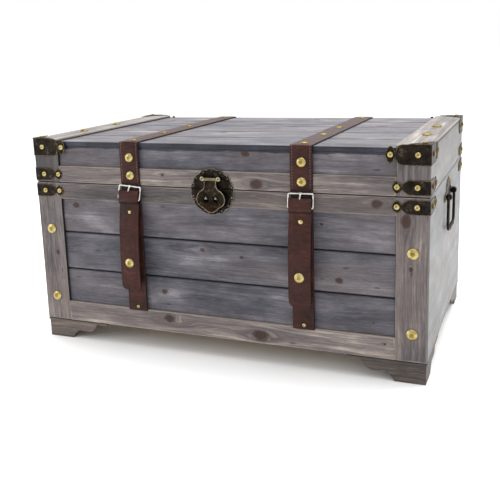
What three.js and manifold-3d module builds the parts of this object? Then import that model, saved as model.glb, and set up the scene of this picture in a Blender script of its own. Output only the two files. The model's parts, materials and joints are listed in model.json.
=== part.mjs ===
// A wooden toy trunk: a plank-fronted case on four ogee feet, with a hinged lid, two buckled leather straps,
// metal corners, a round hasp lock, drop handles at the ends and a folding lid stay inside.
// Millimetres. +X is the right-hand end seen from the front, +Y the back, +Z up, with the floor at z = 0.
// The case is centred on x = 0, y = 0 of an inner group, which is moved along Y at the end so that the whole
// object, hardware included, is centred on the origin.

import * as THREE from "three";
import { mergeVertices } from "three/addons/utils/BufferGeometryUtils.js";
import Module from "manifold-3d";

const wasm = await Module();
wasm.setup();

// Overall sizes.
const WIDTH = 762; // across the end panels
const DEPTH = 480; // from the front face of the trim to the back face
const FOOT_HEIGHT = 39; // floor to the underside of the case
const CASE_HEIGHT = 284; // underside of the case to the joint with the lid
const LID_HEIGHT = 85; // joint with the case to the top of the end rails

// Boards.
const WALL = 12; // thickness of boards and end panels
const TRIM = 5; // stiles and rails stand this far proud of the boards
const FLOOR_PANEL = 9; // thickness of the inside floor
const FLOOR_RISE = 6; // underside of the case to the underside of the floor
const TOP_PANEL = 8; // thickness of the lid's top
const TOP_SETBACK = 3; // the top panel's front edge behind the face of the trim
const STILE_WIDTH = 54;
const END_RAIL_WIDTH = 55; // the rails on top of the lid
const CASE_TOP_RAIL = 32;
const CASE_BOTTOM_RAIL = 40;
const LID_RAIL = 32;
const FRONT_BOARD_PITCH = 75.5; // width of the middle board of the front
const TOP_BOARD_FIRST = 104; // width of the lid's front board
const TOP_BOARD_PITCH = 95; // width of the lid's other boards
const TOP_JOINTS = 4;
const CHAMFER = 2.5; // bevel along the face of each joint between boards
const TONGUE = 6; // height of the tongue on a board's edge
const TONGUE_THICKNESS = 4;

// Clearances.
const FIT = 0.3; // between pieces that are fastened together
const LID_GAP = 1; // between case and lid
const RUN = 0.3; // radial clearance of a pin in its eye
const END_PLAY = 0.5; // between knuckles along a pin
const PAST = 1; // how far a cutting tool runs past what it cuts

// Feet.
const FOOT_REACH = 112; // length of the bracket along each wall
const FOOT_BOARD = 14; // thickness of the bracket
const FOOT_INSET = 1.5; // the bracket's face behind the edge of its plate
const FOOT_PLATE = 4.5; // thickness of the plate on top of the bracket
const FOOT_PLATE_REACH = 138;
const FOOT_PLATE_WIDTH = 30;
const FOOT_PAD = 54; // length of the flat part that stands on the floor
const FOOT_STEP = 17; // height of the lobe above the floor
const FOOT_LOBE_SAG = 1; // the lobe's outer end below its inner end

// Metal corners.
const METAL = 1.5; // thickness of sheet hardware
const CAP_HEIGHT = 31;
const CAP_FINIAL = 64; // corner to the centre of the finial
const CAP_TOP_REACH = 34; // how far the cap reaches over the top along each edge
const CAP_TOP_EDGE = 8; // width of the cap's top at its two ends
const CAP_TOP_NAIL = 11; // corner to the nail on top, along each edge
const BRACKET_HEIGHT = 24.5;
const BRACKET_FINIAL = 53;
const FINIAL_HALF = 7.5; // half the finial's length
const FINIAL_POINT = 0.86; // half the finial's height, as a share of half the plate's
const FINIAL_WAIST = 3.5; // from the finial's axes to the hollow of its sides
const NECK_HALF = 2.4; // half the height of the neck between plate and finial
const PLATE_ROUND = 16; // length over which the plate's end rounds in to the neck
const CORNER_NAIL = 20; // corner to the first nail
const NAIL_RADIUS = 5;
const NAIL_HEIGHT = 2.6;
const CAP_DROP = 17.5; // top of the end rails down to the cap's centre line
const LID_BRACKET_RISE = 16; // joint up to the lid bracket's centre line
const CASE_BRACKET_DROP = 16.5; // joint down to the case bracket's centre line

// Straps.
const STRAP_OFFSET = 167; // centre of the box to the centre of a strap
const STRAP_WIDTH = 40;
const LEATHER = 3;
const STRAP_FRONT_END = 6; // joint up to the end of the lid strap
const STRAP_BACK_END = 24; // joint up to its end on the back of the lid
const STRAP_FOOT_LAP = 2; // the case strap's end below the top of the bottom rail
const BUCKLE_HEIGHT = 32;
const BUCKLE_WIRE = 3.4;
const BUCKLE_SLACK = 0.1; // the tail's edge to the inside of the buckle
const BUCKLE_RISE = 4; // joint up to the buckle's bar
const STRAP_CLEAR = 1.5; // strap to the buckle in front of it
const TAIL_MARGIN = 1; // the tail past each edge of the strap
const TAIL_LENGTH = 195;
const TAIL_POINT = 9; // length of the clipped end
const TAIL_TOP = 7; // buckle bar down to the top of the tail
const KEEPER_HEIGHT = 29;
const KEEPER_WALL = 3;
const KEEPER_MARGIN = 2; // the keeper past each edge of the tail

// Lock.
const LOCK_RADIUS = 43.5;
const LOCK_DROP = 5; // joint down to the plate's centre
const LOCK_LOBES = 16;
const LOCK_LOBE_DEPTH = 1.6;
const LOCK_LOBE_STEPS = 6; // straight edges in each lobe
const HASP_PIN_RISE = 18; // joint up to the hasp's pin
const HASP_PIN_RADIUS = 1.6;
const HASP_EYE_WALL = 2.1;
const HASP_NECK = 12.5; // half the neck's width, and of the eye's
const HASP_HALF = 28; // half the widest width
const HASP_LENGTH = 60;
const HASP_NECK_LENGTH = 12;
const HASP_WIDE_DROP = 36; // pin down to the widest part
const HASP_LIP_DROP = 53; // pin down to where the lip begins
const HASP_THICKNESS = 2;
const HASP_EAR = 4.5; // length of each ear on the plate
const HASP_PIN_HEAD = 2.8;
const STAPLE_OFFSET = 9.5;
const STAPLE_DROP = 40; // pin down to the staples
const STAPLE_WIDTH = 4;
const STAPLE_HEIGHT = 5;
const STAPLE_CLEAR = 1; // round each staple in its window

// Drop handles.
const HANDLE_DROP = 38; // joint down to the bail's pin
const HANDLE_PLATE_WIDTH = 124;
const HANDLE_PLATE_RISE = 34; // pin up to the plate's top
const HANDLE_PLATE_FALL = 9.5; // pin down to its lower edge
const BAIL_HALF = 46; // centre of the handle to the centre of a leg
const BAIL_WIRE = 3; // radius
const BAIL_DROP = 66;
const BAIL_BEND = 16; // radius of the lower corners
const BOSS_WALL = 2.4;
const BOSS_SINK = 1; // the boss's foot in the plate
const BOSS_LENGTH = 10;
const BOSS_DEPTH = 7; // of the blind bore for the bail's end
const BAIL_ENTRY = 5; // length of the bail's end in the bore
const BAIL_SHOULDER = 5; // radius of the upper corners

// Back hinges.
const HINGE_OFFSET = 240;
const HINGE_WIDTH = 50;
const HINGE_LEAF = 34;
const HINGE_PIN_RADIUS = 1.6;
const HINGE_EYE_WALL = 1.6;
const HINGE_MIDDLE = 16; // length of the case leaf's knuckle

// Lid stay, a folding linkage: both arms are parallel to the lines from the hinge to the two wall pivots.
const STAY_CASE_BACK = 62; // hinge pin forward to the pivot on the case
const STAY_CASE_DROP = 88; // hinge pin down to it
const STAY_LID_BACK = 175; // hinge pin forward to the pivot on the lid
const STAY_LID_RISE = 32; // hinge pin up to it
const STAY_WIDTH = 15;
const STAY_THICKNESS = 2.5;
const STAY_PLAY = 0.6; // between the two arms, and between an arm and the wall
const STAY_RIVET = 5; // radius of the rivet heads
const STAY_RIVET_HEIGHT = 1.6;

// Heights and faces that follow from them.
const HALF_WIDTH = WIDTH / 2;
const FRONT = -DEPTH / 2;
const BACK = DEPTH / 2;
const BOARD_FACE = FRONT + TRIM;
const INNER_FRONT = BOARD_FACE + WALL;
const INNER_BACK = BACK - WALL;
const INNER_SIDE = HALF_WIDTH - WALL;
const CASE_BASE = FOOT_HEIGHT + FIT;
const JOINT = FOOT_HEIGHT + CASE_HEIGHT;
const CASE_TOP = JOINT - LID_GAP / 2;
const LID_BASE = JOINT + LID_GAP / 2;
const TOP = JOINT + LID_HEIGHT;
const PANEL_TOP = TOP - TRIM;
const PANEL_UNDER = PANEL_TOP - TOP_PANEL;
const SKIN = FRONT - FIT; // back of anything fastened to the front
const STILE_EDGE = HALF_WIDTH - STILE_WIDTH;
const TAIL_WIDTH = STRAP_WIDTH + 2 * TAIL_MARGIN;
const BUCKLE_WIDTH = TAIL_WIDTH + 2 * (BUCKLE_SLACK + BUCKLE_WIRE);
const HASP_EYE_RADIUS = HASP_PIN_RADIUS + RUN + HASP_EYE_WALL;
const HINGE_RADIUS = HINGE_PIN_RADIUS + RUN + HINGE_EYE_WALL;
const HINGE_Y = BACK + FIT + HINGE_RADIUS;
const BAR_Y = SKIN - LEATHER - STRAP_CLEAR - BUCKLE_WIRE / 2;
const BAR_Z = JOINT + BUCKLE_RISE;
const TAIL_BACK = BAR_Y - BUCKLE_WIRE / 2 - FIT;
const KEEPER_FACE = TAIL_BACK - LEATHER - KEEPER_WALL;
const HASP_PIN_Y = SKIN - METAL - END_PLAY - HASP_EYE_RADIUS;
const HASP_PIN_Z = JOINT + HASP_PIN_RISE;
const BOSS_RADIUS = BAIL_WIRE + 2 * RUN + BOSS_WALL;
const BOSS_X = HALF_WIDTH + FIT + METAL + BOSS_RADIUS - BOSS_SINK;
const BOSS_Z = JOINT - HANDLE_DROP;
const BOSS_END = BAIL_HALF - BAIL_WIRE - END_PLAY;

// Finishes.
const FINISHES = {
  board: { color: 0x6f6f79, roughness: 0.75, metalness: 0 },
  trim: { color: 0x857b76, roughness: 0.75, metalness: 0 },
  panel: { color: 0x8c8c8e, roughness: 0.7, metalness: 0 },
  inside: { color: 0x9a8568, roughness: 0.8, metalness: 0 },
  leather: { color: 0x48322d, roughness: 0.5, metalness: 0 },
  bronze: { color: 0x3a322a, roughness: 0.45, metalness: 0.9 },
  brass: { color: 0xb9a25a, roughness: 0.3, metalness: 1 },
  nickel: { color: 0xd0ccc2, roughness: 0.25, metalness: 1 },
  steel: { color: 0x8d8f92, roughness: 0.35, metalness: 1 },
};

const trunk = new THREE.Group();

// Adds one named piece to the trunk and returns its mesh.
function piece(name, geometry, finish) {
  const mesh = new THREE.Mesh(geometry, new THREE.MeshStandardMaterial(FINISHES[finish]));
  mesh.name = name;
  trunk.add(mesh);
  return mesh;
}

// A box from its lowest corner to its highest.
function box(low, high) {
  const size = high.map((value, axis) => value - low[axis]);
  const middle = high.map((value, axis) => (value + low[axis]) / 2);
  return new THREE.BoxGeometry(...size).translate(...middle);
}

function outline(points) {
  return new THREE.Shape(points.map(([a, b]) => new THREE.Vector2(a, b)));
}

// Extrudes an outline by a length, with its two directions and the direction of travel laid along given axes.
function extruded(shape, length, across, up, along, curveSegments) {
  const geometry = new THREE.ExtrudeGeometry(shape, { depth: length, bevelEnabled: false, curveSegments });
  return geometry.applyMatrix4(new THREE.Matrix4().makeBasis(across, up, along));
}

const X = new THREE.Vector3(1, 0, 0);
const Y = new THREE.Vector3(0, 1, 0);
const Z = new THREE.Vector3(0, 0, 1);

// An outline in (y, z) carried along X.
function alongX(shape, from, to, curveSegments = 5) {
  return extruded(shape, to - from, Y, Z, X, curveSegments).translate(from, 0, 0);
}

// An outline in (x, z) carried along Y.
function alongY(shape, from, to, curveSegments = 5) {
  return extruded(shape, to - from, X, Z, Y.clone().negate(), curveSegments).translate(0, to, 0);
}

// An outline in (x, y) carried along Z.
function alongZ(shape, from, to, curveSegments = 5) {
  return extruded(shape, to - from, X, Y, Z, curveSegments).translate(0, 0, from);
}

// A cylinder on an axis parallel to X, from one x to another.
function rod(radius, from, to, y, z, sides = 16) {
  const geometry = new THREE.CylinderGeometry(radius, radius, to - from, sides);
  return geometry.rotateZ(-Math.PI / 2).translate((from + to) / 2, y, z);
}

function solid(geometry) {
  const bare = geometry.index ? geometry.toNonIndexed() : geometry.clone();
  bare.deleteAttribute("normal");
  bare.deleteAttribute("uv");
  const merged = mergeVertices(bare, 1e-4);
  const vertProperties = merged.getAttribute("position").array;
  const triVerts = new Uint32Array(merged.index.array);
  return new wasm.Manifold(new wasm.Mesh({ numProp: 3, vertProperties, triVerts }));
}

function geometryOf(made) {
  const mesh = made.getMesh();
  const geometry = new THREE.BufferGeometry();
  geometry.setAttribute("position", new THREE.BufferAttribute(new Float32Array(mesh.vertProperties), 3));
  geometry.setIndex(new THREE.BufferAttribute(new Uint32Array(mesh.triVerts), 1));
  geometry.computeVertexNormals();
  return geometry;
}

function joined(...geometries) {
  return geometryOf(geometries.map(solid).reduce((all, next) => all.add(next)));
}

function cut(geometry, ...tools) {
  return geometryOf(tools.map(solid).reduce((rest, tool) => rest.subtract(tool), solid(geometry)));
}

// A nail's low domed head at the origin, facing -Y, with its foot sunk into the sheet behind it.
function nailHead() {
  const profile = [
    [0, -METAL / 2],
    [NAIL_RADIUS, -METAL / 2],
    [NAIL_RADIUS, 0],
    [NAIL_RADIUS * 0.72, NAIL_HEIGHT * 0.7],
    [0, NAIL_HEIGHT],
  ];
  const points = profile.map(([radius, height]) => new THREE.Vector2(radius, height));
  return new THREE.LatheGeometry(points, 8).rotateX(Math.PI);
}

// Two distances from the middle plane on one side of it, lowest coordinate first.
function span(sign, near, far) {
  return [sign * near, sign * far].sort((a, b) => a - b);
}

// The section in (y, z) of a board that stands on edge, with a tongue above and a groove below where it has
// a neighbour.
function boardSection(bottom, top, hasGroove, hasTongue) {
  const face = BOARD_FACE;
  const rear = face + WALL;
  const middle = (face + rear) / 2;
  const half = TONGUE_THICKNESS / 2;
  const points = [];
  if (hasGroove) {
    const depth = TONGUE + FIT;
    points.push([face, bottom + CHAMFER], [face + CHAMFER, bottom]);
    points.push([middle - half - FIT, bottom], [middle - half - FIT, bottom + depth]);
    points.push([middle + half + FIT, bottom + depth], [middle + half + FIT, bottom]);
  } else {
    points.push([face, bottom]);
  }
  points.push([rear, bottom], [rear, top]);
  if (hasTongue) {
    points.push([middle + half, top], [middle + half, top + TONGUE]);
    points.push([middle - half, top + TONGUE], [middle - half, top]);
    points.push([face + CHAMFER, top], [face, top - CHAMFER]);
  } else {
    points.push([face, top]);
  }
  return outline(points);
}

// Case boards, trim and panels.
function buildCase() {
  const between = INNER_SIDE - FIT;
  const railTop = CASE_BASE + CASE_BOTTOM_RAIL;
  const upperRailBottom = CASE_TOP - CASE_TOP_RAIL;
  const middle = (railTop + upperRailBottom) / 2;
  const lowerJoint = middle - FRONT_BOARD_PITCH / 2;
  const upperJoint = middle + FRONT_BOARD_PITCH / 2;
  const boards = [
    ["front_board_lower", CASE_BASE, lowerJoint, false, true],
    ["front_board_middle", lowerJoint + FIT, upperJoint, true, true],
    ["front_board_upper", upperJoint + FIT, CASE_TOP, true, false],
  ];
  for (const [name, bottom, top, hasGroove, hasTongue] of boards) {
    piece(name, alongX(boardSection(bottom, top, hasGroove, hasTongue), -between, between), "board");
  }
  const rail = STILE_EDGE - FIT;
  const trimBack = BOARD_FACE - FIT;
  piece("case_bottom_rail", box([-rail, FRONT, CASE_BASE], [rail, trimBack, railTop]), "trim");
  piece("case_top_rail", box([-rail, FRONT, upperRailBottom], [rail, trimBack, CASE_TOP]), "trim");
  for (const [side, sign] of [["left", -1], ["right", 1]]) {
    const [near, far] = span(sign, STILE_EDGE, HALF_WIDTH);
    piece(`case_stile_${side}`, box([near, FRONT, CASE_BASE], [far, trimBack, CASE_TOP]), "trim");
    const [inner, outer] = span(sign, INNER_SIDE, HALF_WIDTH);
    piece(`case_end_${side}`, box([inner, BOARD_FACE, CASE_BASE], [outer, BACK, CASE_TOP]), "panel");
  }
  piece("case_back", box([-between, INNER_BACK, CASE_BASE], [between, BACK, CASE_TOP]), "panel");
  const floor = CASE_BASE + FLOOR_RISE;
  const floorFront = INNER_FRONT + FIT;
  const floorBack = INNER_BACK - FIT;
  const panel = box([-between, floorFront, floor], [between, floorBack, floor + FLOOR_PANEL]);
  piece("case_floor", panel, "inside");
}

// The lid's top: boards glued edge to edge, with a V along the face of each joint, notched round the stiles.
function topPanel() {
  const front = FRONT + TOP_SETBACK;
  const half = INNER_SIDE - FIT;
  const points = [[front, PANEL_UNDER], [BACK, PANEL_UNDER], [BACK, PANEL_TOP]];
  for (let joint = TOP_JOINTS - 1; joint >= 0; joint -= 1) {
    const y = FRONT + TOP_BOARD_FIRST + joint * TOP_BOARD_PITCH;
    points.push([y + CHAMFER, PANEL_TOP], [y, PANEL_TOP - CHAMFER], [y - CHAMFER, PANEL_TOP]);
  }
  points.push([front, PANEL_TOP]);
  const notches = [-1, 1].map((sign) => {
    const [near, far] = span(sign, STILE_EDGE - FIT, HALF_WIDTH);
    return box([near, FRONT, PANEL_UNDER - PAST], [far, BOARD_FACE, TOP]);
  });
  return cut(alongX(outline(points), -half, half), ...notches);
}

// Lid boards, trim and panels.
function buildLid() {
  const between = INNER_SIDE - FIT;
  const trimBack = BOARD_FACE - FIT;
  const wallTop = PANEL_UNDER - FIT;
  const underRail = PANEL_TOP - FIT;
  piece("lid_top", topPanel(), "board");
  piece("lid_front_board", box([-between, BOARD_FACE, LID_BASE], [between, INNER_FRONT, wallTop]), "board");
  piece("lid_back", box([-between, INNER_BACK, LID_BASE], [between, BACK, wallTop]), "panel");
  const rail = STILE_EDGE - FIT;
  piece("lid_front_rail", box([-rail, FRONT, LID_BASE], [rail, trimBack, LID_BASE + LID_RAIL]), "trim");
  for (const [side, sign] of [["left", -1], ["right", 1]]) {
    const [near, far] = span(sign, STILE_EDGE, HALF_WIDTH);
    piece(`lid_stile_${side}`, box([near, FRONT, LID_BASE], [far, trimBack, underRail]), "trim");
    const [inner, outer] = span(sign, INNER_SIDE, HALF_WIDTH);
    piece(`lid_end_${side}`, box([inner, BOARD_FACE, LID_BASE], [outer, BACK, underRail]), "panel");
    const [edge, end] = span(sign, HALF_WIDTH - END_RAIL_WIDTH, HALF_WIDTH);
    piece(`lid_end_rail_${side}`, box([edge, FRONT, PANEL_TOP + FIT], [end, BACK, TOP]), "trim");
  }
}

// One arm of a foot in (distance from the corner, height): a flat pad, a cove, a lobe and a quarter round.
function footOutline(height) {
  const shape = new THREE.Shape();
  const coveEnd = FOOT_PAD + FOOT_STEP;
  const lobeEnd = FOOT_REACH - FOOT_STEP - FOOT_LOBE_SAG * 4;
  shape.moveTo(FOOT_INSET, 0);
  shape.lineTo(FOOT_PAD, 0);
  shape.quadraticCurveTo(coveEnd - FOOT_STEP * 0.45, FOOT_STEP * 0.85, coveEnd, FOOT_STEP);
  shape.lineTo(lobeEnd, FOOT_STEP - FOOT_LOBE_SAG);
  shape.quadraticCurveTo(FOOT_REACH - FOOT_LOBE_SAG * 2, FOOT_STEP, FOOT_REACH, height);
  shape.lineTo(FOOT_INSET, height);
  return shape;
}

// A foot drawn with its corner at the origin, one arm along +X and one along +Y.
function foot() {
  const under = FOOT_HEIGHT - FOOT_PLATE;
  const arm = footOutline(under + FIT);
  const inner = FOOT_INSET + FOOT_BOARD;
  const front = alongY(arm, FOOT_INSET, inner);
  const side = alongX(arm, FOOT_INSET, inner);
  const plateX = box([0, 0, under], [FOOT_PLATE_REACH, FOOT_PLATE_WIDTH, FOOT_HEIGHT]);
  const plateY = box([0, 0, under], [FOOT_PLATE_WIDTH, FOOT_PLATE_REACH, FOOT_HEIGHT]);
  return joined(front, side, plateX, plateY);
}

// One leg of a corner piece in (distance from the corner, height): a plate that rounds in to a neck, then a
// four-pointed finial.
function cornerOutline(finial, height) {
  const half = height / 2;
  const neck = finial - FINIAL_HALF;
  const point = half * FINIAL_POINT;
  const shape = new THREE.Shape();
  shape.moveTo(-FIT - METAL, -half);
  shape.lineTo(neck - PLATE_ROUND, -half);
  shape.quadraticCurveTo(neck - PLATE_ROUND / 4, -half * 0.9, neck, -NECK_HALF);
  shape.quadraticCurveTo(finial - FINIAL_WAIST, -NECK_HALF * 2, finial, -point);
  shape.quadraticCurveTo(finial + FINIAL_WAIST, -FINIAL_WAIST, finial + FINIAL_HALF, 0);
  shape.quadraticCurveTo(finial + FINIAL_WAIST, FINIAL_WAIST, finial, point);
  shape.quadraticCurveTo(finial - FINIAL_WAIST, NECK_HALF * 2, neck, NECK_HALF);
  shape.quadraticCurveTo(neck - PLATE_ROUND / 4, half * 0.9, neck - PLATE_ROUND, half);
  shape.lineTo(-FIT - METAL, half);
  return shape;
}

// The parts of a corner piece drawn with the box's corner at the origin: one leg along +X on the face y = 0,
// one along +Y on the face x = 0, and two nails in each leg.
function cornerLegs(finial, height) {
  const shape = cornerOutline(finial, height);
  const outside = -FIT - METAL;
  const parts = [alongY(shape, outside, -FIT, 4), alongX(shape, outside, -FIT, 4)];
  for (const distance of [CORNER_NAIL, finial]) {
    parts.push(nailHead().translate(distance, outside, 0));
    parts.push(nailHead().rotateZ(-Math.PI / 2).translate(outside, distance, 0));
  }
  return parts;
}

function bracket() {
  return joined(...cornerLegs(BRACKET_FINIAL, BRACKET_HEIGHT));
}

// The cap adds a plate over the top, cut round on its inner corner, with a nail of its own.
function cap() {
  const under = CAP_DROP + FIT;
  const over = under + METAL;
  const outside = -FIT - METAL;
  const shape = new THREE.Shape();
  shape.moveTo(outside, outside);
  shape.lineTo(CAP_TOP_REACH, outside);
  shape.lineTo(CAP_TOP_REACH, CAP_TOP_EDGE);
  shape.quadraticCurveTo(CAP_TOP_REACH / 2, CAP_TOP_REACH / 2, CAP_TOP_EDGE, CAP_TOP_REACH);
  shape.lineTo(outside, CAP_TOP_REACH);
  const plate = alongZ(shape, under, over);
  const low = CAP_HEIGHT / 2 - METAL;
  const frontRise = box([outside, outside, low], [CAP_TOP_REACH, -FIT, over]);
  const sideRise = box([outside, outside, low], [-FIT, CAP_TOP_REACH, over]);
  const nail = nailHead().rotateX(-Math.PI / 2).translate(CAP_TOP_NAIL, CAP_TOP_NAIL, over);
  return joined(...cornerLegs(CAP_FINIAL, CAP_HEIGHT), plate, frontRise, sideRise, nail);
}

// The four corners, as a name and the signs of x and y.
const CORNERS = [
  ["front_left", -1, -1],
  ["front_right", 1, -1],
  ["back_left", -1, 1],
  ["back_right", 1, 1],
];

// Places one copy of a corner piece at each corner of the box.
function atCorners(prefix, geometry, height, finish) {
  for (const [corner, signX, signY] of CORNERS) {
    const mesh = piece(`${prefix}_${corner}`, geometry, finish);
    mesh.position.set(signX * HALF_WIDTH, signY * (DEPTH / 2), height);
    mesh.scale.set(-signX, -signY, 1);
  }
}

// The lid strap: from the back of the lid, over the top and down the front to the buckle.
function lidStrap(centre) {
  const [low, high] = [PANEL_TOP + FIT, PANEL_TOP + FIT + LEATHER];
  const [inFront, outFront] = [SKIN, SKIN - LEATHER];
  const [inBack, outBack] = [BACK + FIT, BACK + FIT + LEATHER];
  const frontEnd = JOINT + STRAP_FRONT_END;
  const backEnd = JOINT + STRAP_BACK_END;
  const section = outline([
    [outFront, frontEnd], [inFront, frontEnd], [inFront, low], [inBack, low],
    [inBack, backEnd], [outBack, backEnd], [outBack, high], [outFront, high],
  ]);
  return alongX(section, centre - STRAP_WIDTH / 2, centre + STRAP_WIDTH / 2);
}

// The case strap: nailed down the front, from under the buckle to the bottom rail.
function caseStrap(centre) {
  const half = STRAP_WIDTH / 2;
  const bottom = CASE_BASE + CASE_BOTTOM_RAIL - STRAP_FOOT_LAP;
  return box([centre - half, SKIN - LEATHER, bottom], [centre + half, SKIN, CASE_TOP]);
}

// The tail: the strap's free end, clipped at its tip, with the keeper loop that holds it at the buckle.
function tail(centre) {
  const half = TAIL_WIDTH / 2;
  const top = BAR_Z - TAIL_TOP;
  const bottom = BAR_Z - TAIL_TOP - TAIL_LENGTH;
  const strap = outline([
    [centre - half, top], [centre - half, bottom + TAIL_POINT], [centre - half + TAIL_POINT, bottom],
    [centre + half - TAIL_POINT, bottom], [centre + half, bottom + TAIL_POINT], [centre + half, top],
  ]);
  const keeperHalf = half + KEEPER_MARGIN;
  const keeperTop = top - END_PLAY;
  const keeper = box(
    [centre - keeperHalf, KEEPER_FACE, keeperTop - KEEPER_HEIGHT],
    [centre + keeperHalf, TAIL_BACK, keeperTop],
  );
  return joined(alongY(strap, TAIL_BACK - LEATHER, TAIL_BACK), keeper);
}

// The buckle: a rectangular wire frame with a prong from its upper bar.
function buckle(centre) {
  const wire = BUCKLE_WIRE / 2;
  const half = BUCKLE_WIDTH / 2;
  const inside = half - BUCKLE_WIRE;
  const bottom = BAR_Z + wire - BUCKLE_HEIGHT;
  const outer = box([centre - half, BAR_Y - wire, bottom], [centre + half, BAR_Y + wire, BAR_Z + wire]);
  const window = box(
    [centre - inside, BAR_Y - BUCKLE_WIRE, bottom + BUCKLE_WIRE],
    [centre + inside, BAR_Y + BUCKLE_WIRE, BAR_Z - wire],
  );
  const frame = cut(outer, window);
  const prongHalf = BUCKLE_WIRE / 2;
  const prongEnd = BAR_Z - TAIL_TOP + END_PLAY;
  const prong = box([centre - prongHalf, BAR_Y - wire, prongEnd], [centre + prongHalf, BAR_Y, BAR_Z]);
  return joined(frame, prong);
}

// The scalloped round plate, cut to the part above or below the joint between case and lid.
function lockPlate(low, high) {
  const points = [];
  const steps = LOCK_LOBES * LOCK_LOBE_STEPS;
  const centre = JOINT - LOCK_DROP;
  for (let step = 0; step < steps; step += 1) {
    const angle = (step / steps) * 2 * Math.PI;
    const radius = LOCK_RADIUS - LOCK_LOBE_DEPTH * (1 - Math.abs(Math.sin((LOCK_LOBES * angle) / 2)));
    points.push([radius * Math.cos(angle), centre + radius * Math.sin(angle)]);
  }
  const disc = solid(alongY(outline(points), SKIN - METAL, SKIN));
  const reach = 2 * LOCK_RADIUS;
  const part = solid(box([-reach, SKIN - reach, low], [reach, SKIN + reach, high]));
  return geometryOf(disc.intersect(part));
}

// A tube on an axis along X.
function eye(radius, bore, from, to, y, z) {
  return cut(rod(radius, from, to, y, z), rod(bore, from - PAST, to + PAST, y, z));
}

// The lid's half of the lock, with an ear at each end of the hasp's pin.
function lockPlateUpper() {
  const plate = lockPlate(LID_BASE, TOP);
  const ears = [];
  for (const sign of [-1, 1]) {
    const [near, far] = span(sign, HASP_NECK + END_PLAY, HASP_NECK + END_PLAY + HASP_EAR);
    const bore = HASP_PIN_RADIUS + RUN;
    const low = [near, HASP_PIN_Y, HASP_PIN_Z - HASP_EYE_RADIUS];
    const high = [far, SKIN - METAL / 2, HASP_PIN_Z + HASP_EYE_RADIUS];
    const web = cut(box(low, high), rod(bore, near - PAST, far + PAST, HASP_PIN_Y, HASP_PIN_Z));
    ears.push(eye(HASP_EYE_RADIUS, bore, near, far, HASP_PIN_Y, HASP_PIN_Z), web);
  }
  return joined(plate, ...ears);
}

// The case's half of the lock, with the two staples that show through the hasp.
function lockPlateLower() {
  const staples = [-STAPLE_OFFSET, STAPLE_OFFSET].map((x) => {
    const z = HASP_PIN_Z - STAPLE_DROP;
    const front = HASP_PIN_Y - HASP_EYE_RADIUS + HASP_THICKNESS + END_PLAY;
    return box(
      [x - STAPLE_WIDTH / 2, front, z - STAPLE_HEIGHT / 2],
      [x + STAPLE_WIDTH / 2, SKIN - METAL / 2, z + STAPLE_HEIGHT / 2],
    );
  });
  return joined(lockPlate(CASE_BASE, CASE_TOP), ...staples);
}

// The hasp: a pear-shaped plate that hangs from its pin, with a window over each staple.
function hasp() {
  const z = HASP_PIN_Z;
  const neck = z - HASP_NECK_LENGTH;
  const wide = z - HASP_WIDE_DROP;
  const lip = z - HASP_LIP_DROP;
  const bottom = z - HASP_LENGTH;
  const lipHalf = HASP_NECK + 1;
  const round = (HASP_HALF - HASP_NECK) * 0.9;
  const shape = new THREE.Shape();
  shape.moveTo(-HASP_NECK, z);
  shape.lineTo(-HASP_NECK, neck);
  shape.bezierCurveTo(-HASP_NECK, (neck + wide) / 2, -HASP_HALF, wide + round, -HASP_HALF, wide);
  shape.bezierCurveTo(-HASP_HALF, wide - round * 0.8, -lipHalf - round / 2, lip, -lipHalf, lip);
  shape.quadraticCurveTo(-lipHalf * 0.7, bottom, 0, bottom);
  shape.quadraticCurveTo(lipHalf * 0.7, bottom, lipHalf, lip);
  shape.bezierCurveTo(lipHalf + round / 2, lip, HASP_HALF, wide - round * 0.8, HASP_HALF, wide);
  shape.bezierCurveTo(HASP_HALF, wide + round, HASP_NECK, (neck + wide) / 2, HASP_NECK, neck);
  shape.lineTo(HASP_NECK, z);
  const face = HASP_PIN_Y - HASP_EYE_RADIUS;
  const plate = alongY(shape, face, face + HASP_THICKNESS);
  const windows = [-STAPLE_OFFSET, STAPLE_OFFSET].map((x) => {
    const [halfX, halfZ] = [STAPLE_WIDTH / 2 + STAPLE_CLEAR, STAPLE_HEIGHT / 2 + STAPLE_CLEAR];
    const middle = z - STAPLE_DROP;
    const back = face + HASP_THICKNESS + PAST;
    return box([x - halfX, face - PAST, middle - halfZ], [x + halfX, back, middle + halfZ]);
  });
  const bore = rod(HASP_PIN_RADIUS + RUN, -HASP_NECK - PAST, HASP_NECK + PAST, HASP_PIN_Y, HASP_PIN_Z);
  const knuckle = rod(HASP_EYE_RADIUS, -HASP_NECK, HASP_NECK, HASP_PIN_Y, HASP_PIN_Z);
  return cut(joined(plate, knuckle), bore, ...windows);
}

function haspPin() {
  const reach = HASP_NECK + END_PLAY + HASP_EAR;
  const pin = rod(HASP_PIN_RADIUS, -reach - METAL, reach + METAL, HASP_PIN_Y, HASP_PIN_Z);
  const heads = [-1, 1].map((sign) => {
    const [from, to] = span(sign, reach + FIT, reach + FIT + METAL);
    return rod(HASP_PIN_HEAD, from, to, HASP_PIN_Y, HASP_PIN_Z);
  });
  return joined(pin, ...heads);
}

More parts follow.
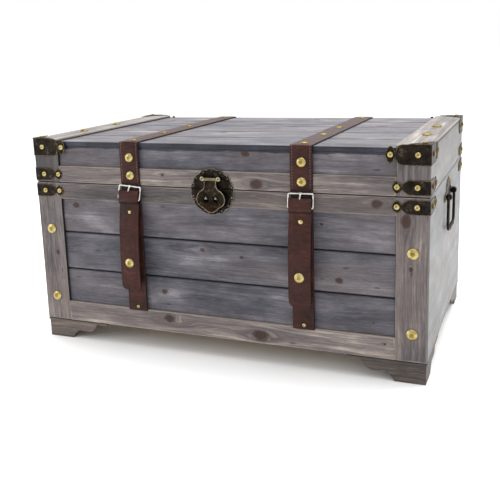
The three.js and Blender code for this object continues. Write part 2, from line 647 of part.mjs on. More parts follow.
// A handle plate for the right-hand end, with two bosses that hold the ends of the bail.
function handlePlate() {
  const half = HANDLE_PLATE_WIDTH / 2;
  const top = BOSS_Z + HANDLE_PLATE_RISE;
  const bottom = BOSS_Z - HANDLE_PLATE_FALL;
  const ear = half * 0.6;
  const crown = half * 0.35;
  const shoulder = BOSS_Z + HANDLE_PLATE_RISE * 0.83;
  const shape = new THREE.Shape();
  shape.moveTo(-half, BOSS_Z);
  shape.quadraticCurveTo(-half, bottom, -ear, bottom);
  shape.quadraticCurveTo(0, BOSS_Z, ear, bottom);
  shape.quadraticCurveTo(half, bottom, half, BOSS_Z);
  shape.quadraticCurveTo(half / 2, BOSS_Z + HANDLE_PLATE_FALL / 2, crown, shoulder);
  shape.quadraticCurveTo(0, 2 * top - shoulder, -crown, shoulder);
  shape.quadraticCurveTo(-half / 2, BOSS_Z + HANDLE_PLATE_FALL / 2, -half, BOSS_Z);
  const back = HALF_WIDTH + FIT;
  const across = (radius, [near, far]) => (
    rod(radius, near, far, 0, 0).rotateZ(Math.PI / 2).translate(BOSS_X, 0, BOSS_Z)
  );
  const signs = [-1, 1];
  const bosses = signs.map((sign) => across(BOSS_RADIUS, span(sign, BOSS_END - BOSS_LENGTH, BOSS_END)));
  const boreRadius = BAIL_WIRE + 2 * RUN;
  const bores = signs.map((sign) => across(boreRadius, span(sign, BOSS_END - BOSS_DEPTH, BOSS_END + PAST)));
  return cut(joined(alongX(shape, back, back + METAL, 6), ...bosses), ...bores);
}

// The bail: round wire from one boss, down, across and up to the other boss.
function bail() {
  const inner = BOSS_END - BAIL_ENTRY;
  const bottom = BOSS_Z - BAIL_DROP + BAIL_WIRE;
  const point = (y, z) => new THREE.Vector3(BOSS_X, y, z);
  const path = new THREE.CurvePath();
  const corners = [
    [point(-BAIL_HALF, BOSS_Z), BAIL_SHOULDER],
    [point(-BAIL_HALF, bottom), BAIL_BEND],
    [point(BAIL_HALF, bottom), BAIL_BEND],
    [point(BAIL_HALF, BOSS_Z), BAIL_SHOULDER],
  ];
  const end = point(inner, BOSS_Z);
  let last = point(-inner, BOSS_Z);
  corners.forEach(([corner, radius], index) => {
    const next = index < corners.length - 1 ? corners[index + 1][0] : end;
    const enter = corner.clone().addScaledVector(last.clone().sub(corner).normalize(), radius);
    const leave = corner.clone().addScaledVector(next.clone().sub(corner).normalize(), radius);
    path.add(new THREE.LineCurve3(last, enter));
    path.add(new THREE.QuadraticBezierCurve3(enter, corner, leave));
    last = leave;
  });
  path.add(new THREE.LineCurve3(last, end));
  const ring = new THREE.Shape();
  ring.absarc(0, 0, BAIL_WIRE, 0, 2 * Math.PI, false);
  const settings = { extrudePath: path, steps: 40, curveSegments: 5, bevelEnabled: false };
  return new THREE.ExtrudeGeometry(ring, settings);
}

// A back hinge leaf: a sheet on the back of case or lid and its knuckles on the hinge line.
function hingeLeaf(centre, low, high, knuckles, bored) {
  const half = HINGE_WIDTH / 2;
  const sheet = box([centre - half, BACK + FIT, low], [centre + half, BACK + FIT + METAL, high]);
  const rolls = knuckles.map(([from, to]) => rod(HINGE_RADIUS, centre + from, centre + to, HINGE_Y, JOINT));
  const webs = knuckles.map(([from, to]) => {
    const edge = low > JOINT ? low : high;
    const [bottom, top] = [Math.min(edge, JOINT), Math.max(edge, JOINT)];
    return box([centre + from, BACK + FIT, bottom - FIT], [centre + to, BACK + FIT + METAL, top + FIT]);
  });
  const leaf = joined(sheet, ...rolls, ...webs);
  if (!bored) return leaf;
  return cut(leaf, rod(HINGE_PIN_RADIUS + RUN, centre - half - PAST, centre + half + PAST, HINGE_Y, JOINT));
}

function buildHinge(side, centre) {
  const half = HINGE_WIDTH / 2;
  const middle = HINGE_MIDDLE / 2;
  const clear = HINGE_RADIUS + END_PLAY;
  const outer = [[-half, -middle - END_PLAY], [middle + END_PLAY, half]];
  const caseLeaf = hingeLeaf(centre, JOINT - HINGE_LEAF, JOINT - clear, [[-middle, middle]], false);
  const pin = rod(HINGE_PIN_RADIUS, centre - half, centre + half, HINGE_Y, JOINT);
  piece(`hinge_case_leaf_${side}`, joined(caseLeaf, pin), "brass");
  piece(`hinge_lid_leaf_${side}`, hingeLeaf(centre, JOINT + clear, JOINT + HINGE_LEAF, outer, true), "brass");
}

// A flat arm between two pivots in (y, z), with round ends.
function stayArm(start, end, from, to) {
  const radius = STAY_WIDTH / 2;
  const angle = Math.atan2(end[1] - start[1], end[0] - start[0]);
  const shape = new THREE.Shape();
  shape.absarc(end[0], end[1], radius, angle - Math.PI / 2, angle + Math.PI / 2, false);
  shape.absarc(start[0], start[1], radius, angle + Math.PI / 2, angle + (3 * Math.PI) / 2, false);
  return alongX(shape, from, to, 6);
}

function buildStay() {
  const onCase = [HINGE_Y - STAY_CASE_BACK, JOINT - STAY_CASE_DROP];
  const onLid = [HINGE_Y - STAY_LID_BACK, JOINT + STAY_LID_RISE];
  const knee = [onCase[0] - STAY_LID_BACK, onCase[1] + STAY_LID_RISE];
  const upperOuter = INNER_SIDE - STAY_PLAY;
  const upperInner = upperOuter - STAY_THICKNESS;
  const lowerOuter = upperInner - STAY_PLAY;
  const lowerInner = lowerOuter - STAY_THICKNESS;
  const head = (pivot, from, to) => rod(STAY_RIVET, from, to, pivot[0], pivot[1]);
  const lower = stayArm(onCase, knee, lowerInner, lowerOuter);
  const caseBoss = head(onCase, lowerInner - STAY_RIVET_HEIGHT, upperOuter);
  const kneeHead = head(knee, lowerInner - STAY_RIVET_HEIGHT, lowerOuter);
  piece("stay_lower_arm", joined(lower, caseBoss, kneeHead), "steel");
  const upper = stayArm(onLid, knee, upperInner, upperOuter);
  const lidHead = head(onLid, upperInner - STAY_RIVET_HEIGHT, upperOuter);
  piece("stay_upper_arm", joined(upper, lidHead), "steel");
}

buildCase();
buildLid();
atCorners("foot", foot(), 0, "trim");
atCorners("lid_cap", cap(), TOP - CAP_DROP, "bronze");
atCorners("lid_bracket", bracket(), JOINT + LID_BRACKET_RISE, "bronze");
atCorners("case_bracket", bracket(), JOINT - CASE_BRACKET_DROP, "bronze");
for (const [side, sign] of [["left", -1], ["right", 1]]) {
  piece(`lid_strap_${side}`, lidStrap(sign * STRAP_OFFSET), "leather");
  piece(`case_strap_${side}`, caseStrap(sign * STRAP_OFFSET), "leather");
  piece(`strap_tail_${side}`, tail(sign * STRAP_OFFSET), "leather");
  piece(`buckle_${side}`, buckle(sign * STRAP_OFFSET), "nickel");
  buildHinge(side, sign * HINGE_OFFSET);
  for (const [name, geometry] of [["handle_plate", handlePlate()], ["handle_bail", bail()]]) {
    const mesh = piece(`${name}_${side}`, geometry, "bronze");
    mesh.scale.x = sign;
  }
}
piece("lock_plate_upper", lockPlateUpper(), "bronze");
piece("lock_plate_lower", lockPlateLower(), "bronze");
piece("hasp", hasp(), "bronze");
piece("hasp_pin", haspPin(), "brass");
buildStay();

// The keeper stands furthest forward and the hinge barrels furthest back.
trunk.position.y = -(KEEPER_FACE + HINGE_Y + HINGE_RADIUS) / 2;

const assembly = new THREE.Group();
assembly.add(trunk);

export default assembly;
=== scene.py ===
"""The looks of a wooden toy trunk: weathered boards, buckled leather straps, antique metal corners and a hasp lock."""

import json
import math

import bmesh
import bpy
from mathutils import Matrix, Vector, noise


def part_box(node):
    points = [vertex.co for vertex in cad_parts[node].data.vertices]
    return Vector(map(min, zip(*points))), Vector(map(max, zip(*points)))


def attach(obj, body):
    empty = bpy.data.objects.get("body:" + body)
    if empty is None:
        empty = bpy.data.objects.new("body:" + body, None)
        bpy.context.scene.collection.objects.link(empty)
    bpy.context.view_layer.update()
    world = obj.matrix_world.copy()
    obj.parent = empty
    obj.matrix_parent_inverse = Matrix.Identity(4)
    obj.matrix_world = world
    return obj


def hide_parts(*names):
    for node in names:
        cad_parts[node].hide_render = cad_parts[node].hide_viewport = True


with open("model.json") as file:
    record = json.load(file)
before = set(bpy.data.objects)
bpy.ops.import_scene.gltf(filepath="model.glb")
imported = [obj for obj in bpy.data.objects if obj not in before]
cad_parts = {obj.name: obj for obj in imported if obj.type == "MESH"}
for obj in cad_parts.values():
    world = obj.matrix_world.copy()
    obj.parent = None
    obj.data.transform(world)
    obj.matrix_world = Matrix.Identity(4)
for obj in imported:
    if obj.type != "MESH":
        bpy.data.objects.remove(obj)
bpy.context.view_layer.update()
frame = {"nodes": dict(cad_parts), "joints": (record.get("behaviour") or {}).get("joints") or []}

MM = 0.001
X, Y, Z = 0, 1, 2
SIDES = (("left", -1), ("right", 1))
CORNERS = [(f"{row}_{side}", sign, way) for row, way in (("front", -1), ("back", 1)) for side, sign in SIDES]


def mm(*rows):
    """Numbers or rows of numbers given in millimetres, as metres."""
    return [mm(*row) if isinstance(row, tuple) else row * MM for row in rows]


# ------ sizes, read from the frame
def low(node):
    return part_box(node)[0]


def high(node):
    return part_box(node)[1]


def pivot(name):
    return Vector(next(j["pos_m"] for j in frame["joints"] if j["name"] == name))


HALF = high("case_end_right").x          # outside of the end panels
FRONT = low("case_stile_left").y         # face of stiles and rails
BOARD = low("front_board_lower").y       # face of the boards between them
BACK = high("case_back").y
SEAM = pivot("lid_hinge").z              # joint between case and lid
PANEL = high("lid_top").z                # the lid's boards
TOP = high("lid_end_rail_left").z
FIT = 0.3 * MM
SHEET = 1.5 * MM                         # metal corners and lock
SKIN = FRONT - FIT                       # back of what is fastened to the front
PLATE = SKIN - SHEET                     # face of sheet metal on the front


# ------ node graphs
def colour(text):
    """A hex sRGB colour as linear RGBA."""
    parts = [int(text[i:i + 2], 16) / 255 for i in (0, 2, 4)]
    return [p / 12.92 if p <= 0.04045 else ((p + 0.055) / 1.055) ** 2.4 for p in parts] + [1.0]


class Graph:
    """A material's node tree, with short calls for the nodes it needs. tint is the colour so far."""

    def __init__(self, name):
        self.material = bpy.data.materials.new(name)
        self.material.use_nodes = True
        self.tree = self.material.node_tree
        self.shader = self.tree.nodes["Principled BSDF"]
        self.place = self.node("TexCoord").outputs["Object"]
        self.x, self.y, self.z = self.node("SeparateXYZ", {0: self.place}).outputs
        self.tint = None

    def node(self, kind, inputs=None, **settings):
        made = self.tree.nodes.new("ShaderNode" + kind)
        for key, value in settings.items():
            setattr(made, key, value)
        for key, value in (inputs or {}).items():
            self.feed(made.inputs[key], value)
        return made

    def feed(self, socket, value):
        if isinstance(value, bpy.types.NodeSocket):
            self.tree.links.new(value, socket)
        else:
            socket.default_value = value

    def math(self, operation, a, b=0.0, c=0.0):
        return self.node("Math", {0: a, 1: b, 2: c}, operation=operation).outputs[0]

    def times(self, a, by, plus=0.0):
        return self.math("MULTIPLY_ADD", a, by, plus)

    def minus(self, a, b):
        return self.math("SUBTRACT", a, b)

    def both(self, a, b):
        return self.math("MULTIPLY", a, b)

    def least(self, a, b):
        return self.math("MINIMUM", a, b)

    def vector(self, x, y, z):
        return self.node("CombineXYZ", {0: x, 1: y, 2: z}).outputs[0]

    def noise(self, vector, scale=1.0, detail=2.0, rough=0.5):
        """Noise spread to about 0 to 1."""
        made = self.node("TexNoise", {"Vector": vector, "Scale": scale, "Detail": detail, "Roughness": rough})
        return self.rise(made.outputs["Fac"], 0.28, 0.72, smooth=False)

    def cells(self, vector, scale):
        return self.node("TexVoronoi", {"Vector": vector, "Scale": scale}).outputs

    def rise(self, value, start, end, to=1.0, smooth=True):
        """0 before start, `to` past end; falling where start is above end."""
        kind = "SMOOTHSTEP" if smooth else "LINEAR"
        inputs = {"Value": value, "From Min": start, "From Max": end, "To Min": 0.0, "To Max": to}
        if start > end:
            inputs.update({"From Min": end, "From Max": start, "To Min": to, "To Max": 0.0})
        return self.node("MapRange", inputs, interpolation_type=kind).outputs[0]

    def mix(self, share, a, b):
        made = self.tree.nodes.new("ShaderNodeMix")
        made.data_type = "RGBA"
        for socket, value in ((made.inputs[0], share), (made.inputs[6], a), (made.inputs[7], b)):
            self.feed(socket, value)
        return made.outputs[2]

    def cover(self, share, over):
        """Lays a hex colour, or another tint, over the tint."""
        self.tint = self.mix(share, self.tint, colour(over) if isinstance(over, str) else over)

    def tones(self, value, palette):
        """The palette's hex colours spread evenly over 0 to 1."""
        colours = palette.split()
        ramp = self.node("ValToRGB", {0: value})
        stops = ramp.color_ramp.elements
        while len(stops) < len(colours):
            stops.new(0.5)
        for i, (stop, text) in enumerate(zip(stops, colours)):
            stop.position = i / (len(colours) - 1)
            stop.color = colour(text)
        return ramp.outputs[0]

    def finish(self, rough, height=None, depth=0.0, **fixed):
        self.feed(self.shader.inputs["Base Color"], self.tint)
        self.feed(self.shader.inputs["Roughness"], rough)
        if height is not None:
            bump = self.node("Bump", {"Height": height, "Distance": depth, "Strength": 1.0})
            self.feed(self.shader.inputs["Normal"], bump.outputs[0])
        for key, value in fixed.items():
            self.shader.inputs[key.replace("_", " ")].default_value = value
        return self.material


# ------ materials
BOARD_TONES = "1f2029 3f3e46 5b5860 868386"
TRIM_TONES = "272427 4b4547 6c6362 a2978a"
DARK_TRIM = "201d20 3d393b 595252 8d8479"
# a darker copy of the trim's tones, for the lid's left stile: painted shade
SHADED_TRIM = "191719 312d30 484344 746c66"
PALE_TRIM = "2f2b2d 544d4f 776d6b ada295"
# a paler copy of the trim's tones for the rails on the lid's top: painted light from above
TOP_LIT_RAIL_TONES = "363334 5f5a59 837c7a b5ada5"
TOP_TONES = "24252d 47464e 66646b 93908f"
LIP_TONES = "0a0a10 1a1b27 303240 5a5a66"
PANEL_TONES = "56575a 6b6c6c 7a7b7c 918f8d"
FOOT_TONES = "2b2523 4a413d 655a54 8f8377"
INSIDE_TONES = "7d6648 9a8260 ab9370 bfa987"
BAND_NAVY = "131624"


def wood(node, along, across, tones, seed, knots=(), grain=0.4, groove=0.0, dirt=0.5, rub=0.0, band=None,
         inner=None, seams=(), lines_at=(), lip=None):
    """Stained softwood for one piece. along and across are the axes of the grain and of the board's width.
    knots: (along, across, radius), which the grain runs round. grain: the share of streaks in the stain.
    groove: place of the face; behind it, as in a V joint, is painted shade. band: height of the navy paint's edge.
    dirt, rub: how far the edges darken, partly as grime and partly as painted shade at the joints, and how far stain is
    worn off them. inner: (axis, place, sign) of bare ply inside.
    seams: places across of its own joints. lines_at: (axis, place, reach) of dark lines of painted shade at its
    neighbours.
    lip: place of a dark front edge."""
    g = Graph(node)
    xyz = (g.x, g.y, g.z)
    lo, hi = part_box(node)
    u, v, w = xyz[along], xyz[across], xyz[3 - along - across]

    # the grain bends round the knots; ring is the distance to the nearest one in radii
    bent, ring = v, None
    for ku, kv, radius in knots:
        du, dv = g.minus(u, ku), g.minus(v, kv)
        du2, dv2 = g.both(du, du), g.both(dv, dv)
        push = radius * radius * 1.3
        far = g.math("MAXIMUM", g.times(du2, 0.12, dv2), push)
        bent = g.minus(bent, g.math("DIVIDE", g.times(dv, push), far))
        reach = g.times(g.math("SQRT", g.times(du2, 0.6, dv2)), 1 / radius)
        ring = reach if ring is None else g.least(ring, reach)

    def drawn(length, width, place=v, shift=seed):
        """A place for noise that is drawn out along the grain."""
        return g.vector(g.times(u, length), g.times(place, width), g.times(w, width, shift))

    slow = g.noise(drawn(3.5, 11), detail=1)
    bent = g.times(slow, 0.012, bent)
    bands = g.noise(g.vector(g.times(u, 1.6), g.times(bent, 52), seed), detail=3, rough=0.6)
    streaks = g.noise(drawn(7, 240, bent), detail=4, rough=0.62)
    blotch = g.noise(drawn(10, 24, shift=seed + 5), detail=5, rough=0.66)
    broad = g.noise(drawn(2.6, 7, shift=seed + 9), detail=2)
    fibres = g.noise(drawn(45, 1500, bent), detail=1)

    # stain: a weighted sum of the noises, with its middle at 0.5
    cloud = 1.25 * (1 - grain)
    tone = g.times(bands, 0.8 * grain, 0.5 - 0.5 * (1.7 * grain + cloud + 0.3))
    for part, weight in ((blotch, cloud), (streaks, 0.9 * grain), (broad, 0.3)):
        tone = g.times(part, weight, tone)
    g.tint = g.tones(tone, tones)
    darkest, *_, palest = tones.split()
    g.cover(g.rise(g.minus(broad, g.times(blotch, 0.4)), 0.05, 0.75, 0.3), "6b5d57")
    lines = g.math("FRACT", g.times(bands, 7.0))
    lines = g.both(g.rise(lines, 0.0, 0.14), g.rise(lines, 1.0, 0.9))
    g.cover(g.times(lines, -0.6 * grain, 0.6 * grain), darkest)
    g.cover(g.rise(fibres, 0.6, 1.0, 0.3), palest)

    # short dark ticks in one cell out of five
    ticks = g.cells(drawn(20, 75), 1.0)
    chosen = g.rise(g.node("SeparateColor", {0: ticks["Color"]}).outputs[0], 0.8, 0.84)
    speck = g.both(g.rise(g.times(streaks, 0.1, ticks["Distance"]), 0.24, 0.1), chosen)
    g.cover(g.times(speck, 0.8), "241f1f")

    # knots: a stained halo, a ringed core and a dark edge between them
    if ring is not None:
        wavy = g.times(blotch, 1.1, g.times(streaks, 0.8, g.times(ring, 1.0, -0.7)))
        g.cover(g.rise(wavy, 2.6, 1.0, 0.45), "5c4f4b")
        rings = g.math("SINE", g.times(blotch, 4.0, g.times(wavy, 7)))
        core = g.mix(g.times(rings, 0.3, 0.45), colour("3d1c13"), colour("1c0b07"))
        g.cover(g.times(g.rise(wavy, 1.25, 0.85), 0.95), core)
        g.cover(g.both(g.rise(wavy, 0.95, 1.15), g.rise(wavy, 1.5, 1.2, 0.7)), "1d1716")

    # edges, joints and lines against the neighbours
    near = g.least(g.minus(v, lo[across]), g.minus(hi[across], v))
    near = g.least(near, g.least(g.minus(u, lo[along]), g.minus(hi[along], u)))
    near = g.times(g.times(blotch, 1.0, -0.5), 4.0 * MM, near)
    # the edges darken: part grime, part painted shade at the joints
    if dirt:
        g.cover(g.rise(near, 4.5 * MM, 0.0, dirt), "1d1c22")
    if rub:
        g.cover(g.rise(near, 2.6 * MM, 0.0, rub), palest)
    for place in seams:
        gap = g.times(blotch, 1.2 * MM, g.math("ABSOLUTE", g.minus(v, place)))
        g.cover(g.rise(gap, 4.2 * MM, 2.0 * MM, 0.9), "14151d")
    # painted shade: dark lines where the piece meets its neighbours, in the steps and gaps between them
    for axis, place, reach in lines_at:
        off = g.math("ABSOLUTE", g.minus(xyz[axis], place))
        g.cover(g.rise(off, reach, reach * 0.6, 0.92), "121118")
    # painted shade behind the face, in the V joints and on the edge faces
    if groove:
        depth = g.minus(w, groove) if groove < 0 else g.minus(groove, w)
        g.cover(g.rise(depth, 0.1 * MM, 0.5 * MM, 0.45), "1b1c24")
        g.cover(g.rise(depth, 1.2 * MM, 1.9 * MM, 0.95), "0e101a")
    if lip:
        g.cover(g.rise(g.y, lip + 0.6 * MM, lip + 0.2 * MM), g.tones(tone, LIP_TONES))
    if band:
        wave = g.noise(g.vector(g.times(g.x, 14), seed, 0.0), detail=4, rough=0.6)
        above = g.minus(g.times(wave, 6 * MM, g.z), band)
        g.cover(g.both(g.rise(above, 0.0, 2.2 * MM), g.times(blotch, -0.35, 1.05)), BAND_NAVY)
    if inner:
        axis, plane, sign = inner
        hidden = g.rise(g.minus(sign * plane, g.times(xyz[axis], sign)), -0.12 * MM, 0.0)
        g.cover(hidden, g.tones(tone, INSIDE_TONES))

    height = g.times(streaks, 0.6, g.times(fibres, 0.3))
    height = g.times(lines, 0.3, height)
    height = g.times(speck, -0.6, height)
    return g.finish(g.times(streaks, 0.16, 0.44), height, 0.4 * MM, Specular_IOR_Level=0.36)


def leather(name, tones, shine):
    g = Graph(name)
    pebble = g.cells(g.place, 900)["Distance"]
    fine = g.noise(g.place, 2200, 2)
    crease = g.noise(g.vector(g.times(g.x, 90), g.times(g.y, 240), g.times(g.z, 240)), 1.0, 3, 0.6)
    broad = g.noise(g.place, 26, 4, 0.6)
    g.tint = g.tones(g.times(broad, 0.6, g.times(crease, 0.4)), tones)
    g.cover(g.rise(pebble, 0.55, 0.9, 0.35), tones.split()[0])
    rough = g.times(broad, 0.12, g.times(fine, 0.1, shine))
    height = g.times(pebble, -0.6, g.times(crease, 0.5, g.times(fine, 0.15)))
    return g.finish(rough, height, 0.16 * MM, Specular_IOR_Level=0.17)


def metal(name, tones, rough, depth=0.1 * MM, wear=None, patches=95.0, **fixed):
    """Cast or pressed metal with a patina that lies in patches, fine pits and brushed wear."""
    g = Graph(name)
    patina = g.noise(g.place, patches, 4, 0.62)
    pits = g.noise(g.place, 420.0, 3, 0.6)
    g.tint = g.tones(g.times(patina, 0.7, g.times(pits, 0.3)), tones)
    if wear:
        g.cover(g.rise(g.times(pits, 0.4, patina), 0.95, 1.25, 0.7), wear)
    value = g.times(patina, 0.14, g.times(pits, 0.12, rough))
    height = g.times(pits, 0.6, g.times(patina, 0.5))
    return g.finish(value, height, depth, **(fixed or {"Metallic": 1.0}))


BRONZE = metal("antique_bronze", "100e0d 1e1a17 2d2823 453d35", 0.34, 0.22 * MM, wear="62594a")
# pale rims of the sheet metal and the handles' collars: rubbed metal, partly a painted highlight
BRONZE_EDGE = metal("rubbed_edge_and_highlight", "14100b 332a1b 6a5c3f a3946e", 0.3, patches=210.0)
# the lock's pale rims, beads and rings: rubbed metal, partly painted highlights
LOCK_RIM = metal("lock_rim_wear_and_highlight", "16130f 413a30 857d6e cbc5b8", 0.28, 0.15 * MM, patches=330.0)
HASP_FACE = metal("hasp_bronze", "0d0a08 1c1712 30271d 54482f", 0.3, 0.3 * MM, "7b7567", 170.0)
# the hasp's pale rim: rubbed metal, partly a painted highlight
HASP_RIM = metal("hasp_rim_wear_and_highlight", "3a3429 6b6351 8f8873 b9b3a2", 0.26, patches=200.0)
PALE_BRASS = metal("pale_brass", "5d553f 877e63 a89f85 c9c2ae", 0.26, 0.06 * MM)
PIN = metal("aged_pin", "3f3a28 625b41 827a5b a29a7c", 0.3, 0.08 * MM)
TIP = metal("staple_steel", "6b665c 8f8a7d aba698 c9c5b8", 0.34)
BRASS = metal("brass", "7a6937 a08f56 bdae7a d8cda8", 0.18, 0.06 * MM)
PATINA = metal("brass_patina", "2b2312 4b3f20 6b5a30 8d7a47", 0.32, 0.08 * MM)
# a darker brass on the crowns of domed heads: painted shade
CROWN = metal("brass_crown_painted_shade", "55471f 75642f 8f7e47 ad9d66", 0.26, 0.07 * MM)
NICKEL = metal("nickel", "8f8b84 b9b6af cfccc6 dedcd8", 0.2, 0.05 * MM)
STEEL = metal("zinc_steel", "7c7f82 94979a a4a7a9 b4b6b8", 0.34, 0.05 * MM)
LEATHER = leather("brown_leather", "170806 2b140f 3c1e18 553129", 0.3)
# dark leather: the dyed cut edges with painted shade on them, and painted shade inside the keeper, along its lower lip
# and on the chape
LEATHER_EDGE_AND_SHADE = leather("leather_edge_and_shade", "080404 0f0807 180e0c 241613", 0.5)
THREAD = leather("waxed_thread", "4f403a 6a5a52 7c6c63 95867c", 0.6)
# the hasp's opening as a dark sheet: rust colour and painted shade
MOUTH = metal("rusty_opening_painted_shade", "080302 180a05 2b150b 433018", 0.6, Metallic=0.0, Specular_IOR_Level=0.05)


# ------ shapes
def circle(count, turn=0.0):
    """Angles round a circle."""
    return [turn + 2 * math.pi * k / count for k in range(count)]


class Shape:
    """Gathers faces into one mesh, each with a material slot."""

    def __init__(self):
        self.points, self.faces, self.slots = [], [], []

    def grid(self, rows, slot=0, first=True, last=True):
        """A skin round rows of points. slot may be a list, one for each step. first and last close those rows."""
        start, count = len(self.points), len(rows[0])
        slots = slot if isinstance(slot, list) else [slot] * max(1, len(rows) - 1)
        for row in rows:
            self.points.extend(Vector(p) for p in row)
        for r in range(len(rows) - 1):
            for c in range(count):
                a, b = start + r * count + c, start + r * count + (c + 1) % count
                self.face((a, b, b + count, a + count), slots[r])
        final = start + (len(rows) - 1) * count
        if first:
            self.face(tuple(range(start, start + count)), slots[0])
        if last:
            self.face(tuple(range(final, final + count)), slots[-1])

    def face(self, corners, slot):
        self.faces.append(corners)
        self.slots.append(slot)

    def add(self, other):
        base = len(self.points)
        self.points += other.points
        self.faces += [tuple(base + c for c in corners) for corners in other.faces]
        self.slots += other.slots

    def dome(self, centre, normal, profile, slot=0, sides=20):
        """A lathed shape on an axis: profile is [(radius, height)] from the foot to the crown."""
        n = Vector(normal).normalized()
        side = n.orthogonal().normalized()
        other = n.cross(side)
        self.grid([
            [Vector(centre) + n * height + (side * math.cos(a) + other * math.sin(a)) * max(radius, 1e-6)
             for a in circle(sides)]
            for radius, height in profile
        ], slot)

    def tube(self, path, radius, slot=0, sides=12, closed=False, up=(0, 0, 1)):
        """A round bar along a path; radius is a number or one for each point."""
        rows = []
        count = len(path)
        for i, p in enumerate(path):
            p = Vector(p)
            after = Vector(path[(i + 1) % count]) if closed or i < count - 1 else p
            before = Vector(path[i - 1]) if closed or i else p
            along = (after - before).normalized()
            side = along.cross(Vector(up))
            side = side.normalized() if side.length > 1e-6 else along.orthogonal().normalized()
            over = side.cross(along)
            r = radius[i] if isinstance(radius, (list, tuple)) else radius
            rows.append([p + side * (math.cos(a) * r) + over * (math.sin(a) * r) for a in circle(sides)])
        if closed:
            rows.append(rows[0])
        self.grid(rows, slot, not closed, not closed)

    def mesh(self, name, smooth=38, bend=None, cuts=()):
        """Makes the mesh. cuts are (point, normal) planes that split faces before bend moves each point."""
        mesh = bpy.data.meshes.new(name)
        made = bmesh.new()
        verts = [made.verts.new(p) for p in self.points]
        for corners, index in zip(self.faces, self.slots):
            face = made.faces.new([verts[c] for c in corners])
            face.material_index = index
        bmesh.ops.remove_doubles(made, verts=made.verts, dist=1e-7)
        for point, normal in cuts:
            everything = made.verts[:] + made.edges[:] + made.faces[:]
            bmesh.ops.bisect_plane(made, geom=everything, plane_co=point, plane_no=normal, dist=1e-7)
        if bend:
            for vert in made.verts:
                vert.co = bend(vert.co)
        bmesh.ops.recalc_face_normals(made, faces=made.faces)
        for face in made.faces:
            face.smooth = True
        for edge in made.edges:
            if len(edge.link_faces) == 2 and edge.calc_face_angle(0) > math.radians(smooth):
                edge.smooth = False
        made.to_mesh(mesh)
        made.free()
        return mesh

    def build(self, name, body, materials, *nodes, slot=None, windows=None, **options):
        """Makes the object. windows is a shape that is cut out of it."""
        mesh = self.mesh(name, **options)
        for material in materials:
            mesh.materials.append(material)
        piece = link(name, mesh)
        if windows:
            cutter = link(name + "_windows", windows.mesh("windows"))
            step = piece.modifiers.new("windows", "BOOLEAN")
            step.operation, step.solver, step.object = "DIFFERENCE", "EXACT", cutter
            bpy.context.view_layer.update()
            graph = bpy.context.evaluated_depsgraph_get()
            piece.data = bpy.data.meshes.new_from_object(piece.evaluated_get(graph))
            piece.modifiers.clear()
            bpy.data.objects.remove(cutter)
        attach(piece, body)
        if nodes:
            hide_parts(*nodes)
        return piece

    def build_bronze(self, name, body, *nodes, **options):
        self.build(name, body, [BRONZE, BRONZE_EDGE], *nodes, slot="bronze", **options)

    def build_brass(self, name, body):
        """Makes nails, studs or screws, whose slots are brass, patina and the crown's painted shade."""
        self.build(name, body, [BRASS, PATINA, CROWN], slot="brass")


def link(name, data):
    made = bpy.data.objects.new(name, data)
    bpy.context.scene.collection.objects.link(made)
    return made


def bezier(a, b, c, steps):
    """Points of a quadratic curve after its start."""
    return [
        tuple((1 - t) ** 2 * p + 2 * (1 - t) * t * q + t * t * r for p, q, r in zip(a, b, c))
        for t in ((i + 1) / steps for i in range(steps))
    ]


def curved(start, *turns):
    """A line from start through quadratic curves, each given as (control, end, steps)."""
    line = [start]
    for control, end, steps in turns:
        line += bezier(line[-1], control, end, steps)
    return line


SHARPEST = 0.78                          # keeps the steps of a sheet apart in its narrow places


def inset(outline, by):
    """A closed outline moved inwards. It runs anticlockwise."""
    moved = []
    for i, (x, y) in enumerate(outline):
        ahead = Vector(outline[(i + 1) % len(outline)])
        one = (Vector((x, y)) - Vector(outline[i - 1])).normalized()
        two = (ahead - Vector((x, y))).normalized()
        n = Vector((-one.y - two.y, one.x + two.x))
        n = n.normalized() if n.length > 1e-9 else Vector((-one.y, one.x))
        share = max(SHARPEST, n.dot(Vector((-one.y, one.x))))
        moved.append((x + n.x * by / share, y + n.y * by / share))
    return moved


def pressed(shape, outline, back, steps, place):
    """A pressed sheet: steps are (inset, depth, slot) from the outer edge of its face to its middle."""
    area = sum(ax * by - bx * ay for (ax, ay), (bx, by) in zip(outline, outline[1:] + outline[:1]))
    outline = outline if area > 0 else outline[::-1]
    rows = [[place(s, t, back) for s, t in outline]]
    for step, depth, _ in steps:
        rows.append([place(s, t, depth) for s, t in inset(outline, step)])
    slots = [slot for _, _, slot in steps]
    shape.grid(rows, slots + slots[-1:])


def relief(*steps):
    """(inset, depth, slot) of a pressed face, from millimetres."""
    return [(step * MM, depth * MM, slot) for step, depth, slot in steps]


# slot 1, the pale rim round the face: rubbed metal, partly a painted highlight
RIM = relief((0, 0.5, 0), (0.45, 0, 1), (1.1, 0, 1), (1.6, 0.5, 0))


# ------ boards
def soften(node, width):
    """Rounds a CAD piece's edges."""
    piece = frame["nodes"][node]
    piece.modifiers.new("weld", "WELD").merge_threshold = 1e-6
    bevel = piece.modifiers.new("round", "BEVEL")
    bevel.width, bevel.segments = width, 2
    bevel.limit_method, bevel.angle_limit = "ANGLE", math.radians(40)


def paint(node, material):
    materials = frame["nodes"][node].data.materials
    materials.clear()
    materials.append(material)


